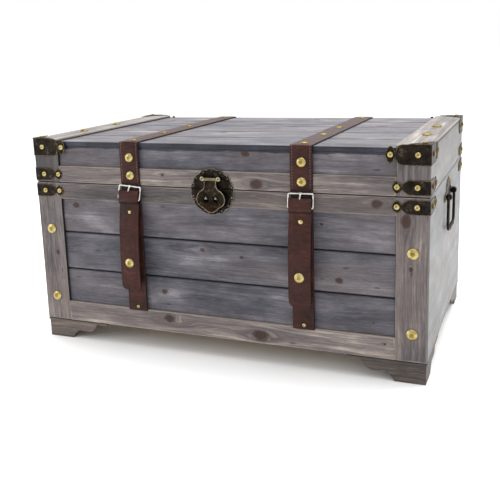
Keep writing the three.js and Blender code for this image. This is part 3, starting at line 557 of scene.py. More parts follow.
TOP_JOINTS = mm(-132.4, -37.4, 57.6, 152.6)
KNOTS = {  # place along the grain and across it in metres, and radius in millimetres
    "front_board_upper": ((-0.335, 0.255, 4.5), (-0.2965, 0.278, 5), (0.2, 0.268, 3)),
    "front_board_middle": ((-0.028, 0.206, 5.5), (0.05, 0.198, 2.2), (0.23, 0.17, 4.5)),
    "front_board_lower": ((-0.11, 0.118, 6), (0.29, 0.1, 1.6)),
    "case_bottom_rail": ((-0.0993, 0.0667, 8), (0.085, 0.056, 9), (0.31, 0.066, 1.8)),
    "case_top_rail": ((0.2944, 0.3108, 6.5),),
    "lid_front_rail": ((0.083, 0.333, 8), (-0.1, 0.345, 3)),
    "lid_front_board": ((0.0638, 0.3875, 5),),
    "case_stile_right": ((0.2833, 0.3426, 6.4), (0.202, 0.352, 2.5)),
    "case_stile_left": ((0.18, -0.345, 4),),
    "lid_top": ((-0.05, -0.06, 6), (0.24, 0.08, 7), (-0.28, 0.17, 6), (0.07, 0.2, 5)),
    "case_back": ((-0.2, 0.2, 9), (0.12, 0.12, 7), (0.27, 0.25, 6)),
}
seeds = [1.0]


def board(node, along, across, tones, rounding, share_seed=False, **options):
    """Paints a piece as wood and rounds its edges by millimetres. The next one has another seed, unless shared."""
    knots = [(u, v, radius * MM) for u, v, radius in KNOTS.get(node, ())]
    paint(node, wood(node, along, across, tones, seeds[-1], knots, **options))
    soften(node, rounding * MM)
    if not share_seed:
        seeds.append(seeds[-1] + 3.7)


opening = high("case_stile_left").x
for node in ("front_board_lower", "front_board_middle", "front_board_upper", "lid_front_board"):
    band = low("lid_cap_front_left").z + 17 * MM if node == "lid_front_board" else None
    board(node, X, Z, BOARD_TONES, 0.5, groove=BOARD, band=band, inner=(Y, high(node).y, -1),
          lines_at=[(X, opening, 1.5 * MM), (X, -opening, 1.5 * MM)])
# painted shade along the gap between case and lid
seam_line = (Z, SEAM, 1.3 * MM)
for node, tones in (("case_bottom_rail", PALE_TRIM), ("case_top_rail", DARK_TRIM), ("lid_front_rail", TRIM_TONES)):
    board(node, X, Z, tones, 0.9, grain=0.65, dirt=0.2, rub=0.5, lines_at=[seam_line])
for node in ("case_stile_left", "case_stile_right", "lid_stile_left", "lid_stile_right"):
    sides = [(X, low(node).x, 0.4 * MM), (X, high(node).x, 0.4 * MM)]
    # the lid's left stile takes the darker copy of the trim's tones, as painted shade
    board(node, Z, X, SHADED_TRIM if node == "lid_stile_left" else TRIM_TONES, 0.9, grain=0.55, dirt=0.2, rub=0.4,
          lines_at=sides + [seam_line])
for node in ("lid_end_rail_left", "lid_end_rail_right"):
    # the rails on top take the paler copy of the trim's tones, as painted light
    board(node, Y, X, TOP_LIT_RAIL_TONES, 0.9, grain=0.6, dirt=0.2, rub=0.4, lines_at=[(Z, low(node).z, 2.8 * MM)])
rail_edge = low("lid_end_rail_right").x
board("lid_top", X, Y, TOP_TONES, 0.5, True, groove=PANEL, seams=TOP_JOINTS, inner=(Z, low("lid_top").z, 1),
      lip=low("lid_top").y, lines_at=[(X, rail_edge, 1.4 * MM), (X, -rail_edge, 1.2 * MM)])
for part in ("case", "lid"):
    for side, sign in SIDES:
        inside = (X, low("case_end_right").x * sign, sign)
        board(f"{part}_end_{side}", Y, Z, PANEL_TONES, 0.7, inner=inside, dirt=0.35)
    board(f"{part}_back", X, Z, PANEL_TONES, 0.7, inner=(Y, low("case_back").y, 1), dirt=0.35)
board("case_floor", X, Y, INSIDE_TONES, 0.5, True, dirt=0.2)
for corner, _, _ in CORNERS:
    node = f"foot_{corner}"
    board(node, X, Z, FOOT_TONES, 1.0, grain=0.75, dirt=0.35, rub=0.1, lines_at=[(Z, high(node).z, 1.6 * MM)])


# ------ studs and nails
AGED = [1, 1, 0, 0, 0, 2, 2]             # slots up a nail: patina at its foot, brass, and a darker crown, which is painted shade
DULL = [1, 1, 1, 1, 2, 2, 2]             # up the nails of the ends and the caps' tops, which have gone dull, with the crown's painted shade above
FLAT = [1, 1, 2, 2, 1, 1, 1]             # up the studs of the lid's top
NAIL_HEAD = ((1, 0.12), (0.97, 0.3), (0.88, 0.56), (0.66, 0.8), (0.4, 0.94), (0.16, 1), (0, 1))
STUD_X = 355 * MM


def stud(radius, height):
    """The profile of a domed head, from millimetres."""
    return [(radius * MM, -0.5 * MM)] + [(radius * MM * r, height * MM * h) for r, h in NAIL_HEAD]


case_studs, lid_studs = Shape(), Shape()
for side, sign in SIDES:
    for z in mm(228.5, 88.5):
        case_studs.dome((sign * STUD_X, FRONT, z), (0, -1, 0), stud(10.2, 4.2), AGED)
    for y in mm(-99.5, 31.5):
        lid_studs.dome((sign * STUD_X, y, TOP), (0, 0, 1), stud(9.4, 3.8), FLAT)
case_studs.build_brass("case_studs", "case")
lid_studs.build_brass("lid_studs", "lid")


# ------ metal corners
BEND = 2.5 * MM                          # outer radius where a corner piece turns
ARC = BEND * math.pi / 4                 # half the length of the turn
REACH = FIT + SHEET - BEND + ARC         # from a distance to the box's corner to a length along the sheet
CAP = 34 * MM                            # height of a lid cap's sides, and length of the arms of its top
NAIL = (5, 3)


def leg(finial, half):
    """The upper edge of one leg, from the corner out to the finial's tip, as (along, up) in metres."""
    neck = finial - 7.3 * MM
    shoulder, pull = mm(13, 3) if half > 15 * MM else mm(16, 6)
    edge = [(0.0, half), (ARC * 1.2, half)]
    return edge + curved(
        (neck - shoulder, half),
        ((neck - pull, half * 0.95), (neck - 0.6 * MM, 3.3 * MM), 10),
        ((neck + 0.4 * MM, half * 0.6), (finial - 0.2 * MM, half * 0.86), 8),
        ((finial + 7.2 * MM, half * 0.62), (finial + 7.8 * MM, 0.0), 9))


def corner_outline(finial, half):
    right = leg(finial, half)
    lower = [(s, -t) for s, t in reversed(right[:-1])]
    return right + lower + [(-s, t) for s, t in reversed(lower[:-1])] + [(-s, t) for s, t in reversed(right[1:])]


def round_corner(sign, way):
    """Maps (along the sheet, depth, height) to the row frame: along 0 is the corner itself."""
    outer_x, outer_y = sign * (HALF + FIT + SHEET), (FRONT - FIT - SHEET if way < 0 else BACK + FIT + SHEET)

    def place(p):
        s, d, t = p
        if s > ARC:
            off_x, off_y = BEND + s - ARC, d
        elif s < -ARC:
            off_x, off_y = d, BEND - s - ARC
        else:
            angle = math.pi / 4 * (1 + s / ARC)
            off_x, off_y = BEND - (BEND - d) * math.cos(angle), BEND - (BEND - d) * math.sin(angle)
        return Vector((outer_x - sign * off_x, outer_y - way * off_y, t))
    return place


def corner_piece(name, node, body, finial, height, centre, sign, way, cap=False):
    """A sheet bent round a corner, with finials and nails. A cap also has a plate on the lid's top."""
    half = height / 2
    shape, nails = Shape(), Shape()

    def flat(s, t, d):
        return s, d, centre + t
    pressed(shape, corner_outline(finial + REACH, half), SHEET, RIM, flat)
    if cap:
        length, foot, over = CAP + REACH, half - 0.5 * MM, TOP + FIT + SHEET - centre
        strip = [(-length, foot), (length, foot), (length, over), (-length, over)]
        # slot 1, the pale rim, is rubbed metal and partly a painted highlight
        pressed(shape, strip, SHEET, relief((0, 0.7, 0), (0.6, 0.2, 1), (1.2, 0.3, 0)), flat)
    cuts = [((ARC * k / 2, 0, 0), (1, 0, 0)) for k in range(-3, 4)]
    place = round_corner(sign, way)
    shape.build_bronze(name, body, node, bend=place, cuts=cuts)
    for distance in (20 * MM, finial):
        for s, face in ((distance + REACH, (0, way, 0)), (-distance - REACH, (sign, 0, 0))):
            nails.dome(place((s, 0.3 * MM, centre)), face, stud(*NAIL), AGED if face[1] else DULL)
    if cap:
        edge = -FIT - SHEET
        arm, waist, blunt = mm(7, 15, 1.2)
        points = [(edge + blunt, edge), (CAP, edge)]
        points += curved((CAP, arm), ((waist, waist), (arm, CAP), 10))
        points += [(edge, CAP), (edge, edge + blunt)]

        def lay(s, t, d):
            return Vector((sign * (HALF - s), (FRONT if way < 0 else BACK) - way * t, TOP + FIT + SHEET - d))
        top = Shape()
        pressed(top, points, SHEET, RIM, lay)
        top.build_bronze(name + "_top", body)
        nails.dome(lay(*mm(11, 11, 0.4)), (0, 0, 1), stud(*NAIL), DULL)
    nails.build_brass(name + "_nails", body)


for corner, sign, way in CORNERS:
    cap_z = low(f"lid_cap_{corner}").z + 17.2 * MM
    corner_piece(f"cap_{corner}", f"lid_cap_{corner}", "lid", 64 * MM, CAP, cap_z, sign, way, cap=True)
    for part in ("lid", "case"):
        node = f"{part}_bracket_{corner}"
        middle = (low(node).z + high(node).z) / 2
        corner_piece(f"corner_{part}_{corner}", node, part, 53 * MM, 24.5 * MM, middle, sign, way)


# ------ straps
def smooth_path(points, radius, step=4 * MM):
    """A polyline in (y, z) with rounded turns, sampled about every step."""
    points = [Vector(p) for p in points]
    path = points[:1]
    for before, turn, after in zip(points, points[1:], points[2:]):
        a = turn + (before - turn).normalized() * radius
        b = turn + (after - turn).normalized() * radius
        path += [Vector(p) for p in curved(tuple(a), (tuple(turn), tuple(b), 6))]
    dense = path[:1]
    for p in path[1:] + points[-1:]:
        start = dense[-1]
        count = max(1, round((p - start).length / step))
        dense += [start.lerp(p, (i + 1) / count) for i in range(count)]
    return dense


LEFT_HALF = ((-1, 0), (-1, 0.55), (-0.975, 0.85), (-0.93, 0.97), (-0.87, 0.93), (-0.8, 0.9), (-0.73, 1), (-0.4, 1.04))
SECTION = LEFT_HALF + ((0, 1.06),) + tuple((-across, up) for across, up in reversed(LEFT_HALF))
STITCHED = (5, 11)                       # the places in SECTION that the thread runs along


def band_rows(path, centre, half, thick, wobble=0.25 * MM, seed=0.0, halves=None):
    """Rows of points for a strap. path is the middle line of its back in (y, z). A groove for the stitches
    runs along each edge of its face."""
    rows = []
    for i, p in enumerate(path):
        along = (path[min(i + 1, len(path) - 1)] - path[max(i - 1, 0)]).normalized()
        n = Vector((along.y, -along.x))
        wide = halves[i] if halves else half
        drift = noise.noise(Vector((centre * 30, i * 0.21, seed))) * wobble
        row = []
        for across, up in SECTION:
            curl = noise.noise(Vector((across * 1.4 + seed, i * 0.16, centre * 9))) * wobble
            at = p + n * (thick * up + (curl + drift if up > 0.3 else 0.0))
            row.append(Vector((centre + across * wide, at.x, at.y)))
        rows.append(row)
    return rows


def strap(name, body, rows, node, *extra):
    """A leather strip with dark cut edges, dyed and with painted shade, and the shapes that go with it."""
    shape = Shape()
    shape.points = [p for row in rows for p in row]
    count, total = len(rows[0]), len(shape.points)
    for base in range(0, total - count, count):
        for c in range(count):
            a, b = base + c, base + (c + 1) % count
            # the cut edges take the dark slot: dye, with painted shade
            shape.face((a, b, b + count, a + count), 1 if c < 2 or c >= count - 3 else 0)
    shape.face(tuple(range(count)), 1)
    shape.face(tuple(range(total - count, total)), 1)
    for other in extra:
        shape.add(other)
    shape.build(name, body, [LEATHER, LEATHER_EDGE_AND_SHADE], node, slot="leather", smooth=50)


def stitches(shape, rows):
    """Thread along two lines of a strap."""
    gap, length, margin = mm(5.2, 3.4, 3)
    for column in STITCHED:
        line = [row[column] for row in rows]
        total = sum((b - a).length for a, b in zip(line, line[1:]))
        at = margin
        while at < total - margin - length:
            run, ends = 0.0, []
            for a, b in zip(line, line[1:]):
                step = (b - a).length
                for target in (at, at + length):
                    if run <= target < run + step:
                        ends.append(a.lerp(b, (target - run) / step))
                run += step
            if len(ends) == 2:
                a, b = ends
                path = [a, a.lerp(b, 0.2), (a + b) / 2, a.lerp(b, 0.8), b]
                shape.tube(path, mm(0.1, 0.5, 0.55, 0.5, 0.1), 0, 6, up=(1, 0, 0))
            at += gap


THICK = 2.7 * MM
LID_END = SEAM + 0.7 * MM                # lower end of the straps on the lid
stitching, lid_strap_studs, case_strap_nails = Shape(), Shape(), Shape()
for side, sign in SIDES:
    lid_strap, case_strap = f"lid_strap_{side}", f"case_strap_{side}"
    centre = (low(lid_strap).x + high(lid_strap).x) / 2
    half = (high(lid_strap).x - low(lid_strap).x) / 2
    top, back = PANEL + FIT, BACK + FIT
    over = [(back, low("lid_back").z + 24 * MM), (back, top), (SKIN, top), (SKIN, LID_END)]
    rows = band_rows(smooth_path(over, 3.2 * MM), centre, half, THICK, seed=sign + 2.0)
    fold, behind = Shape(), SKIN - 2.55 * MM
    end = smooth_path([(behind, SEAM + 8 * MM), (behind, LID_END)], 1 * MM)
    fold.grid(band_rows(end, centre, half - 1.2 * MM, 1.6 * MM, 0))
    strap(f"strap_over_lid_{side}", "lid", rows, lid_strap, fold)
    stitches(stitching, rows)
    down = smooth_path([(SKIN, high(case_strap).z), (SKIN, low(case_strap).z)], 1 * MM)
    rows = band_rows(down, centre, half, THICK, seed=sign + 5.0)
    strap(f"strap_on_case_{side}", "case", rows, case_strap)

    sunk = 2.6 * MM                      # a nail's foot is a little below the leather's face
    for z in mm(376, 342):
        lid_strap_studs.dome((centre + 0.5 * MM, SKIN - sunk, z), (0, -1, 0), stud(8.6, 3.6), AGED)
    for y in mm(-218.4, -96.4, 20.6, 218.6):
        lid_strap_studs.dome((centre, y, top + sunk), (0, 0, 1), stud(6.8, 2.6), FLAT)
    case_strap_nails.dome((centre + 1 * MM, SKIN - sunk, 85 * MM), (0, -1, 0), stud(3.4, 1.8), AGED)
stitching.build("lid_strap_stitches", "lid", [THREAD])
lid_strap_studs.build_brass("lid_strap_studs", "lid")
case_strap_nails.build_brass("case_strap_nails", "case")


# ------ buckles and strap tails
def buckle(side, body, bar, centre):
    """A wire frame hung from its bar, with a prong. The photo's left one hangs a little crooked."""
    node = f"buckle_{side}"
    lo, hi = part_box(node)
    wire, bend = mm(1.7, 2.2)
    w, h = (hi.x - lo.x) / 2 - wire - 0.6 * MM - bend, hi.z - lo.z - 2 * wire - 4.2 * MM - bend
    loop = []
    for cx, cz, start in ((w, -bend, 0), (-w, -bend, 90), (-w, -h, 180), (w, -h, 270)):
        for k in range(6):
            a = math.radians(start + 90 * k / 5)
            loop.append(Vector((cx + bend * math.cos(a), 0, cz + bend * math.sin(a))))
    lean, aside = (4.5, 1.3) if side == "left" else (-0.8, 0)
    turn = Matrix.Rotation(math.radians(lean), 4, "Y") @ Matrix.Rotation(math.radians(-11), 4, "X")
    shift = Vector((centre + aside * MM, bar.y, bar.z - 4.4 * MM))

    def hung(points):
        return [turn @ Vector(p) + shift for p in points]
    shape = Shape()
    shape.tube(hung(loop), wire, 0, 10, closed=True, up=(0, 1, 0))
    prong = mm((0, 0, 0), (0, -2.2, -2), (0, -4.6, -6), (0, -5, -11))
    shape.tube(hung(prong), mm(1.6, 1.7, 1.5, 1.0), 0, 10, up=(1, 0, 0))
    shape.tube(hung(mm((-2.2, 0, 0), (2.2, 0, 0))), 2.5 * MM)
    shape.build(f"buckle_frame_{side}", body, [NICKEL], node, slot="nickel")


def keeper_of(side, centre, front, back, top):
    """The loop of leather round the tail below its buckle, with a dark lower lip that is a painted shadow line."""
    half, lower, upper = 20.4 * MM, top - 0.5 * MM - 29 * MM, top - 0.2 * MM
    lip = 4.0 * MM if side == "left" else 2.8 * MM
    right = ((0.5, 0), (0.95, 0.1), (0.985, 0.6), (1.0, 1.6))
    rows = []
    for z, bulge in ((lower, -1.4), (lower + lip, 0.0), (lower + 9 * MM, 0.1), (lower + 20 * MM, -0.1),
                     (upper - 9 * MM, -0.6), (upper - 5.5 * MM, -2.0), (upper - 4.4 * MM, -4.0)):
        f = front - bulge * MM
        line = [(-x, f + y * MM) for x, y in reversed(right)] + [(0, f - 0.05 * MM)]
        line += [(x, f + y * MM) for x, y in right]
        rows.append([Vector((centre + x * half, y, z)) for x, y in [(-1, back)] + line + [(1, back)]])
    keeper = Shape()
    # the lowest step, lip high, and the inside take the dark slot: a painted shadow line under the keeper and painted
    # shade within
    keeper.grid(rows, [1, 0, 0, 0, 0, 0, 0], False)
    inner = [Vector((centre + (p.x - centre) * 0.95, min(p.y + 1.7 * MM, back - 0.3 * MM), lower))
             for p in rows[0]]
    keeper.grid([rows[0], inner], 1, False, False)
    keeper.grid([inner, [p + Vector((0, 0, 6 * MM)) for p in inner]], 1, False)
    return keeper


for side, sign in SIDES:
    tail = f"strap_tail_{side}"
    lo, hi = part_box(tail)
    centre, bar = (lo.x + hi.x) / 2, pivot(f"{tail}_hinge")
    buckle(side, tail, bar, centre)
    half, clip = mm(20.6, 10)            # clip: the cut corners of the tail's end
    back = hi.y
    path = [(back, hi.z - drop * MM) for drop in (5.5, 9, 13, 18, 24)]
    path = path[:-1] + curved(
        path[-1],
        ((back, hi.z - 36 * MM), (back - 4 * MM, hi.z - 52 * MM), 8),
        ((back - 10.5 * MM, hi.z - 85 * MM), (back - 11.5 * MM, lo.z + 50 * MM), 18),
        ((back - 11.8 * MM, lo.z + 30 * MM), (back - 11.2 * MM, lo.z + 12 * MM), 8))
    path += [(back - 11.2 * MM + 0.04 * drop * MM, lo.z + (12 - drop) * MM) for drop in range(1, 13)]
    path = [Vector(p) for p in path]
    halves = []
    for p in path:
        rest = min(1, (p.y - lo.z) / clip)
        halves.append(half - clip * 0.95 * (1 - math.sqrt(max(0, 1 - (1 - rest) ** 2))))
    rows = band_rows(path, centre, half, 2.9 * MM, 0.3 * MM, sign + 9.0, halves)
    chape = Shape()                      # holds the buckle's bar; dark, as painted shade in the gap under the bar
    under = [(bar.y + 1.9 * MM, bar.z + 1.2 * MM), (bar.y + 2.0 * MM, bar.z - 4.4 * MM),
             (back + 1.4 * MM, hi.z - 8 * MM), (back + 0.2 * MM, hi.z - 14 * MM)]
    chape.grid(band_rows(smooth_path(under, 1.2 * MM), centre, 17 * MM, 1.1 * MM, 0), 1)
    strap(f"tail_{side}", tail, rows, tail, keeper_of(side, centre, lo.y - 1.6 * MM, back, hi.z), chape)

    marks = Shape()
    for x, z, profile, slot, sides in (
            (-0.5, 178, stud(9, 2.6), AGED, 20),
            (1, 274, mm((4.6, 0), (4.4, 0.5), (2.4, 1.4), (0.4, 1.8)), 0, 4 if side == "left" else 16)):
        face = min(path, key=lambda p: abs(p.y - z * MM)).x - 2.7 * MM
        marks.dome((centre + x * MM, face, z * MM), (0, -1, 0), profile, slot, sides)
    marks.build_brass(f"tail_studs_{side}", tail)


# ------ lock
pin = pivot("hasp_hinge")
lower_lock = low("lock_plate_lower")
lock_z = lower_lock.z + (high("lock_plate_upper").z - lower_lock.z) / 2
LOBES = 14
PLATE_R = 42.6 * MM
# slot 1, the pale outer rim, is rubbed metal and partly a painted highlight
LOCK_RELIEF = relief((0, 0.6, 0), (0.5, 0.1, 1), (1.1, 0, 1), (1.9, 0.5, 0), (5.2, 0.7, 0), (6, 0.1, 0),
                     (7, 0.1, 0), (7.8, 0.6, 0), (22, 0.2, 0), (36, 0, 0))


def lock_outline(inset_by):
    points = []
    for a in circle(LOBES * 10):
        r = PLATE_R - inset_by - 1.9 * MM * (1 - abs(math.sin(LOBES * a / 2)) ** 0.75)
        points.append((r * math.cos(a), r * math.sin(a)))
    return points


def half_disc(name, body, node, keep, extras):
    """The lock's round plate, cut at the joint; keep is 1 for the part above it. extras adds what sits on it."""
    shape = Shape()
    steps = [(0.0, SHEET, 0)] + LOCK_RELIEF
    rows = [[(x, PLATE + depth, lock_z + z) for x, z in lock_outline(step)] for step, depth, _ in steps]
    shape.grid(rows, [slot for _, _, slot in LOCK_RELIEF] + [0])
    edge = low(node).z if keep > 0 else high(node).z
    made = shape.build(name, body, [BRONZE, LOCK_RIM], node, slot="bronze")
    cutter = bmesh.new()
    cutter.from_mesh(made.data)
    found = bmesh.ops.bisect_plane(cutter, geom=cutter.verts[:] + cutter.edges[:] + cutter.faces[:],
                                   plane_co=(0, 0, edge), plane_no=(0, 0, -keep), clear_outer=True, dist=1e-7)
    bmesh.ops.holes_fill(cutter, edges=[e for e in found["geom_cut"] if isinstance(e, bmesh.types.BMEdge)])
    cutter.to_mesh(made.data)
    cutter.free()
    beads = Shape()
    bead_r = PLATE_R - 4 * MM
    for i in range(LOBES):
        a = 2 * math.pi * (i + 0.5) / LOBES
        z = lock_z + math.sin(a) * bead_r
        if (z - edge) * keep > 2 * MM:
            # pale beads: rubbed metal, partly painted highlights
            beads.dome((math.cos(a) * bead_r, PLATE + 0.6 * MM, z), (0, -1, 0),
                       mm((1.5, 0), (1.2, 0.7), (0.6, 1.1), (0, 1.2)), 0, 10)
    for sign in (-1, 1):
        x = sign * (PLATE_R - 4.4 * MM) * (0.97 if keep > 0 else 1)
        z, r = lock_z + keep * 12 * MM, 2.3 * MM
        ring = [Vector((x + r * math.cos(t), PLATE - 0.2 * MM, z + r * math.sin(t))) for t in circle(16)]
        beads.tube(ring, 0.6 * MM, 0, 6, closed=True, up=(0, 1, 0))
    extras(beads)
    beads.build(name + "_relief", body, [LOCK_RIM, BRONZE, PALE_BRASS, TIP], slot="bronze")


def along_pin(shape, places, radii, slot, sides):
    shape.tube([(x * MM, pin.y, pin.z) for x in places], mm(*radii), slot, sides)


def ears(shape):
    """The two lugs that hold the hasp's pin, with a rivet on each."""
    for sign in (-1, 1):
        along_pin(shape, [sign * x for x in (13, 13.4, 17, 17.5)], (3.5, 4, 4, 3.5), 1, 18)
        rivet = (sign * 15.6 * MM, pin.y - 3.2 * MM, pin.z + 1.6 * MM)
        profile = mm((4.2, 0), (4.1, 0.5), (3.2, 1.2), (1.7, 1.5), (1.2, 0.9), (0, 0.8))
        # each rivet has pale brass sides and a dark bronze crown; the dark crown is painted shade
        shape.dome(rivet, (0, -1, 0), profile, [2, 2, 2, 2, 1], 18)
        x = sign * 15.2 * MM
        shape.tube([(x, pin.y + 1 * MM, pin.z), (x, SKIN - 0.4 * MM, pin.z)], mm(2.2, 3.2), 1, 8)


def staples(shape):
    """The two tips that show through the hasp's windows."""
    front = lower_lock.y
    for sign in (-1, 1):
        x, z = sign * 9.5 * MM - 1.7 * MM, pin.z - 34.5 * MM
        rows = []
        for y, size in ((PLATE + 0.3 * MM, 4.0), (front + 0.8 * MM, 3.8), (front, 1.8)):
            rows.append([(x + size * MM * math.cos(a), y, z + size * MM * math.sin(a))
                         for a in circle(3, math.pi / 2)])
        shape.grid(rows, 3)


def hasp_line(start, *turns):
    """curved() in millimetres from the pin's middle."""
    return [(x * MM, pin.z + z * MM) for x, z in curved(start, *turns)]


half_disc("lock_upper", "lid", "lock_plate_upper", 1, ears)
half_disc("lock_lower", "case", "lock_plate_lower", -1, staples)
barrel, hasp, windows, details = Shape(), Shape(), Shape(), Shape()
along_pin(barrel, (-19.2, -18.6, -17.9, -17.8, 17.8, 17.9, 18.6, 19.2), (2.2, 2.9, 2.9, 1.6, 1.6, 2.9, 2.9, 2.2), 0, 16)
barrel.build("lock_pin", "lid", [PIN], "hasp_pin", slot="brass")
face = low("hasp").y


def on_hasp(s, t, d):
    return s, face + d, t


left = [(-12.5 * MM, pin.z)] + hasp_line(
    (-11.8, -6.0), ((-10.8, -15.0), (-17.5, -19.0), 7), ((-28.0, -25.0), (-27.8, -37.0), 9),
    ((-27.0, -45.5), (-20.0, -49.0), 7), ((-15.5, -51.0), (-13.0, -54.0), 5), ((-8.0, -59.6), (0.0, -59.8), 8))
outline = left + [(-x, z) for x, z in reversed(left[:-1])]
# the hasp's rim, slot 1, is pale: rubbed metal, partly a painted highlight
pressed(hasp, outline, 2.0 * MM, relief((0, 0.7, 0), (0.5, 0, 1), (1.3, -0.1, 1), (2.1, 0.5, 0)), on_hasp)
along_pin(hasp, (-12.4, -12, 12, 12.4), (3, 3.5, 3.5, 3), 2, 20)
for sign in (-1, 1):
    at = (sign * 9.5 * MM + 0.5 * MM, face - 3 * MM, pin.z - 35.6 * MM)
    windows.dome(at, (0, 1, 0), mm((6.2, 0), (6.2, 8)), 0, 28)
hasp.build("hasp_plate", "hasp", [HASP_FACE, HASP_RIM, PIN], "hasp", slot="bronze", windows=windows)
# a dark sheet for the hasp's opening: rust colour and painted shade
mouth = hasp_line((-10.5, -50.5), ((0, -48.0), (10.5, -50.5), 8), ((0, -62.0), (-10.5, -50.5), 10))[:-1]
pressed(details, mouth, 0.5 * MM, relief((0, 0.2, 0), (0.8, 0.3, 0)), on_hasp)
details.build("hasp_details", "hasp", [MOUTH], slot="bronze")


# ------ handles
upper = curved((62, 0), ((60, 5), (50, 5.6), 5), ((30, 6), (27, 15), 6), ((24, 26), (14, 28), 6),
               ((5, 29), (0, 34), 5))
lower = curved((0, -5), ((22, -4.5), (34, -8.6), 6), ((58, -11.5), (62, 0), 7))
outline = upper + [(-y, z) for y, z in upper[-2::-1] + lower[-2::-1]] + lower[1:-1]
outline = mm(*outline)
for side, sign in SIDES:
    plate_node, bail_node = f"handle_plate_{side}", f"handle_bail_{side}"
    lo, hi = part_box(plate_node)
    middle, boss = (lo.y + hi.y) / 2, pivot(f"bail_{side}_hinge")
    wall = sign * (HALF + FIT)
    plate, nails, bail = Shape(), Shape(), Shape()
    # slot 1, the pale rim, is rubbed metal and partly a painted highlight
    pressed(plate, outline, SHEET, relief((0, 0.9, 0), (0.5, 0.2, 1), (1.4, 0, 1), (2.2, 0.6, 0)),
            lambda s, t, d: (wall + sign * (SHEET - d), middle + s, boss.z + t))
    for way in (-1, 1):
        ends = [(boss.x, middle + way * y * MM, boss.z) for y in (32.5, 33.2, 41.8, 42.5)]
        plate.tube(ends, mm(5.2, 5.9, 5.9, 5.2), 0, 18)
    plate.build_bronze(f"handle_back_{side}", "case", plate_node)
    for y, z in mm((-54, 0), (54, 0), (-15, 21), (15, 21), (0, 27)):
        at = (wall + sign * (SHEET - 0.6 * MM), middle + y, boss.z + z)
        nails.dome(at, (sign, 0, 0), stud(3.4, 2), DULL)
    nails.build_brass(f"handle_nails_{side}", "case")

    lo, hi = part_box(bail_node)
    drop, reach = boss.z - lo.z - 3 * MM, (hi.y - lo.y) / 2 - 3 * MM
    flat = [(-reach + 8 * MM, 0.0)] + curved((-reach + 4 * MM, 0.0), ((-reach, 0), (-reach, -5 * MM), 5))
    flat += [(-reach, -drop * f) for f in (0.2, 0.4, 0.6)]
    flat += bezier((-reach, -drop + 17 * MM), (-reach, -drop), (-reach + 19 * MM, -drop), 8)
    flat += [(-reach * f, -drop) for f in (0.42, 0.28, 0.14)]
    flat += [(0.0, -drop)] + [(-y, z) for y, z in reversed(flat)]
    radii = []
    for y, z in flat:
        grip = max(0.0, 1 - abs(y) / (26 * MM)) if z < -drop + 1 * MM else 0.0
        radii.append((2.7 + 0.9 * grip) * MM)
    bail.tube([(boss.x, middle + y, boss.z + z) for y, z in flat], radii, 0, 14, up=(1, 0, 0))
    for y in (-22, -19, 19, 22):
        collar = [(boss.x, middle + y * MM + e * MM, boss.z - drop) for e in (-1.1, -0.6, 0.6, 1.1)]
        # pale collars: rubbed metal, partly a painted highlight
        bail.tube(collar, mm(2.8, 3.7, 3.7, 2.8), 1, 14)
    bail.build_bronze(f"handle_ring_{side}", f"bail_{side}", bail_node)


# ------ hinges and stay
leaves = [f"hinge_{part}_leaf_{side}" for side, _ in SIDES for part in ("case", "lid")]
for node, look in [(leaf, BRONZE) for leaf in leaves] + [("stay_lower_arm", STEEL), ("stay_upper_arm", STEEL)]:
    paint(node, look)
    soften(node, 0.3 * MM)
screws = {"case": Shape(), "lid": Shape()}
SCREW = mm((3.4, -0.3), (3.3, 0.5), (2.2, 1.2), (0.9, 1.4), (0.7, 0.7), (0, 0.6))
for side, sign in SIDES:
    node = f"hinge_case_leaf_{side}"
    middle = (low(node).x + high(node).x) / 2
    for x in (-17, 0, 17):
        for part, z in (("case", -24 if x else -14), ("lid", 24 if x else 14)):
            at = (middle + x * MM, BACK + FIT + SHEET, SEAM + z * MM)
            screws[part].dome(at, (0, 1, 0), SCREW, 0, 16)
for part, shape in screws.items():
    shape.build_brass(f"hinge_screws_{part}", part)


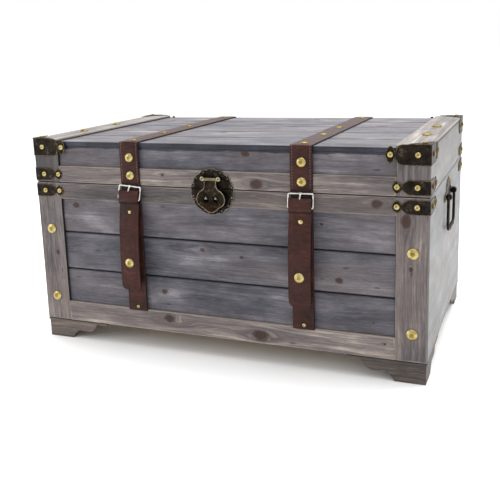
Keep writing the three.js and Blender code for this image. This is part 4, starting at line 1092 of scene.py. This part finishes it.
# ------ studio
def area(name, at, target, size, power):
    lamp = bpy.data.lights.new(name, "AREA")
    lamp.shape, lamp.energy = "RECTANGLE", power
    lamp.size, lamp.size_y = size
    made = link(name, lamp)
    made.location = at
    made.rotation_mode = "QUATERNION"
    made.rotation_quaternion = (Vector(target) - Vector(at)).to_track_quat("-Z", "Y")


scene = bpy.context.scene
scene.view_settings.view_transform = "Standard"
scene.view_settings.look = "None"
world = bpy.data.worlds.new("studio")
scene.world = world
world.use_nodes = True
world.node_tree.nodes["Background"].inputs["Color"].default_value = (1, 1, 1, 1)

FAR = 50
floor_mesh = bpy.data.meshes.new("floor")
floor_mesh.from_pydata([(-FAR, -FAR, 0), (FAR, -FAR, 0), (FAR, FAR, 0), (-FAR, FAR, 0)], [], [(0, 1, 2, 3)])
floor_look = Graph("studio_floor")
floor_look.tint = colour("f6f6f6")
floor_mesh.materials.append(floor_look.finish(0.9))
link("floor", floor_mesh)

middle = (0, 0, 0.2)
area("top_light", (0.4, 0.6, 2.4), middle, (2.6, 2.0), 62)
area("right_light", (2.4, 0.3, 1.0), middle, (1.4, 1.4), 13)
area("left_light", (-2.3, 0.8, 1.2), middle, (1.4, 1.4), 20)
area("front_light", (-1.5, -1.5, 0.8), (-0.3, -0.2, 0.2), (0.8, 0.8), 7)
sky = bpy.data.lights.new("sky", "SUN")
sky.energy, sky.angle = 0.6, math.radians(60)
link("sky", sky)

camera = bpy.data.cameras.new("camera")
camera.sensor_width, camera.lens = 36, 53.35
camera.shift_x, camera.shift_y = 0.03, -0.10
camera.clip_start, camera.clip_end = 0.05, 60
EYE = Vector((540.0, -1424.4, 569.0)) * MM
AZIMUTH, ELEVATION, ROLL = (math.radians(angle) for angle in (22.70, 11.60, -2.01))
away = Matrix.Rotation(AZIMUTH, 3, "Z") @ Vector((0, -math.cos(ELEVATION), math.sin(ELEVATION)))
turn = away.to_track_quat("Z", "Y").to_matrix().to_4x4() @ Matrix.Rotation(ROLL, 4, "Z")
eye = link("camera", camera)
eye.matrix_world = Matrix.Translation(EYE) @ turn
scene.camera = eye

bpy.context.view_layer.update()
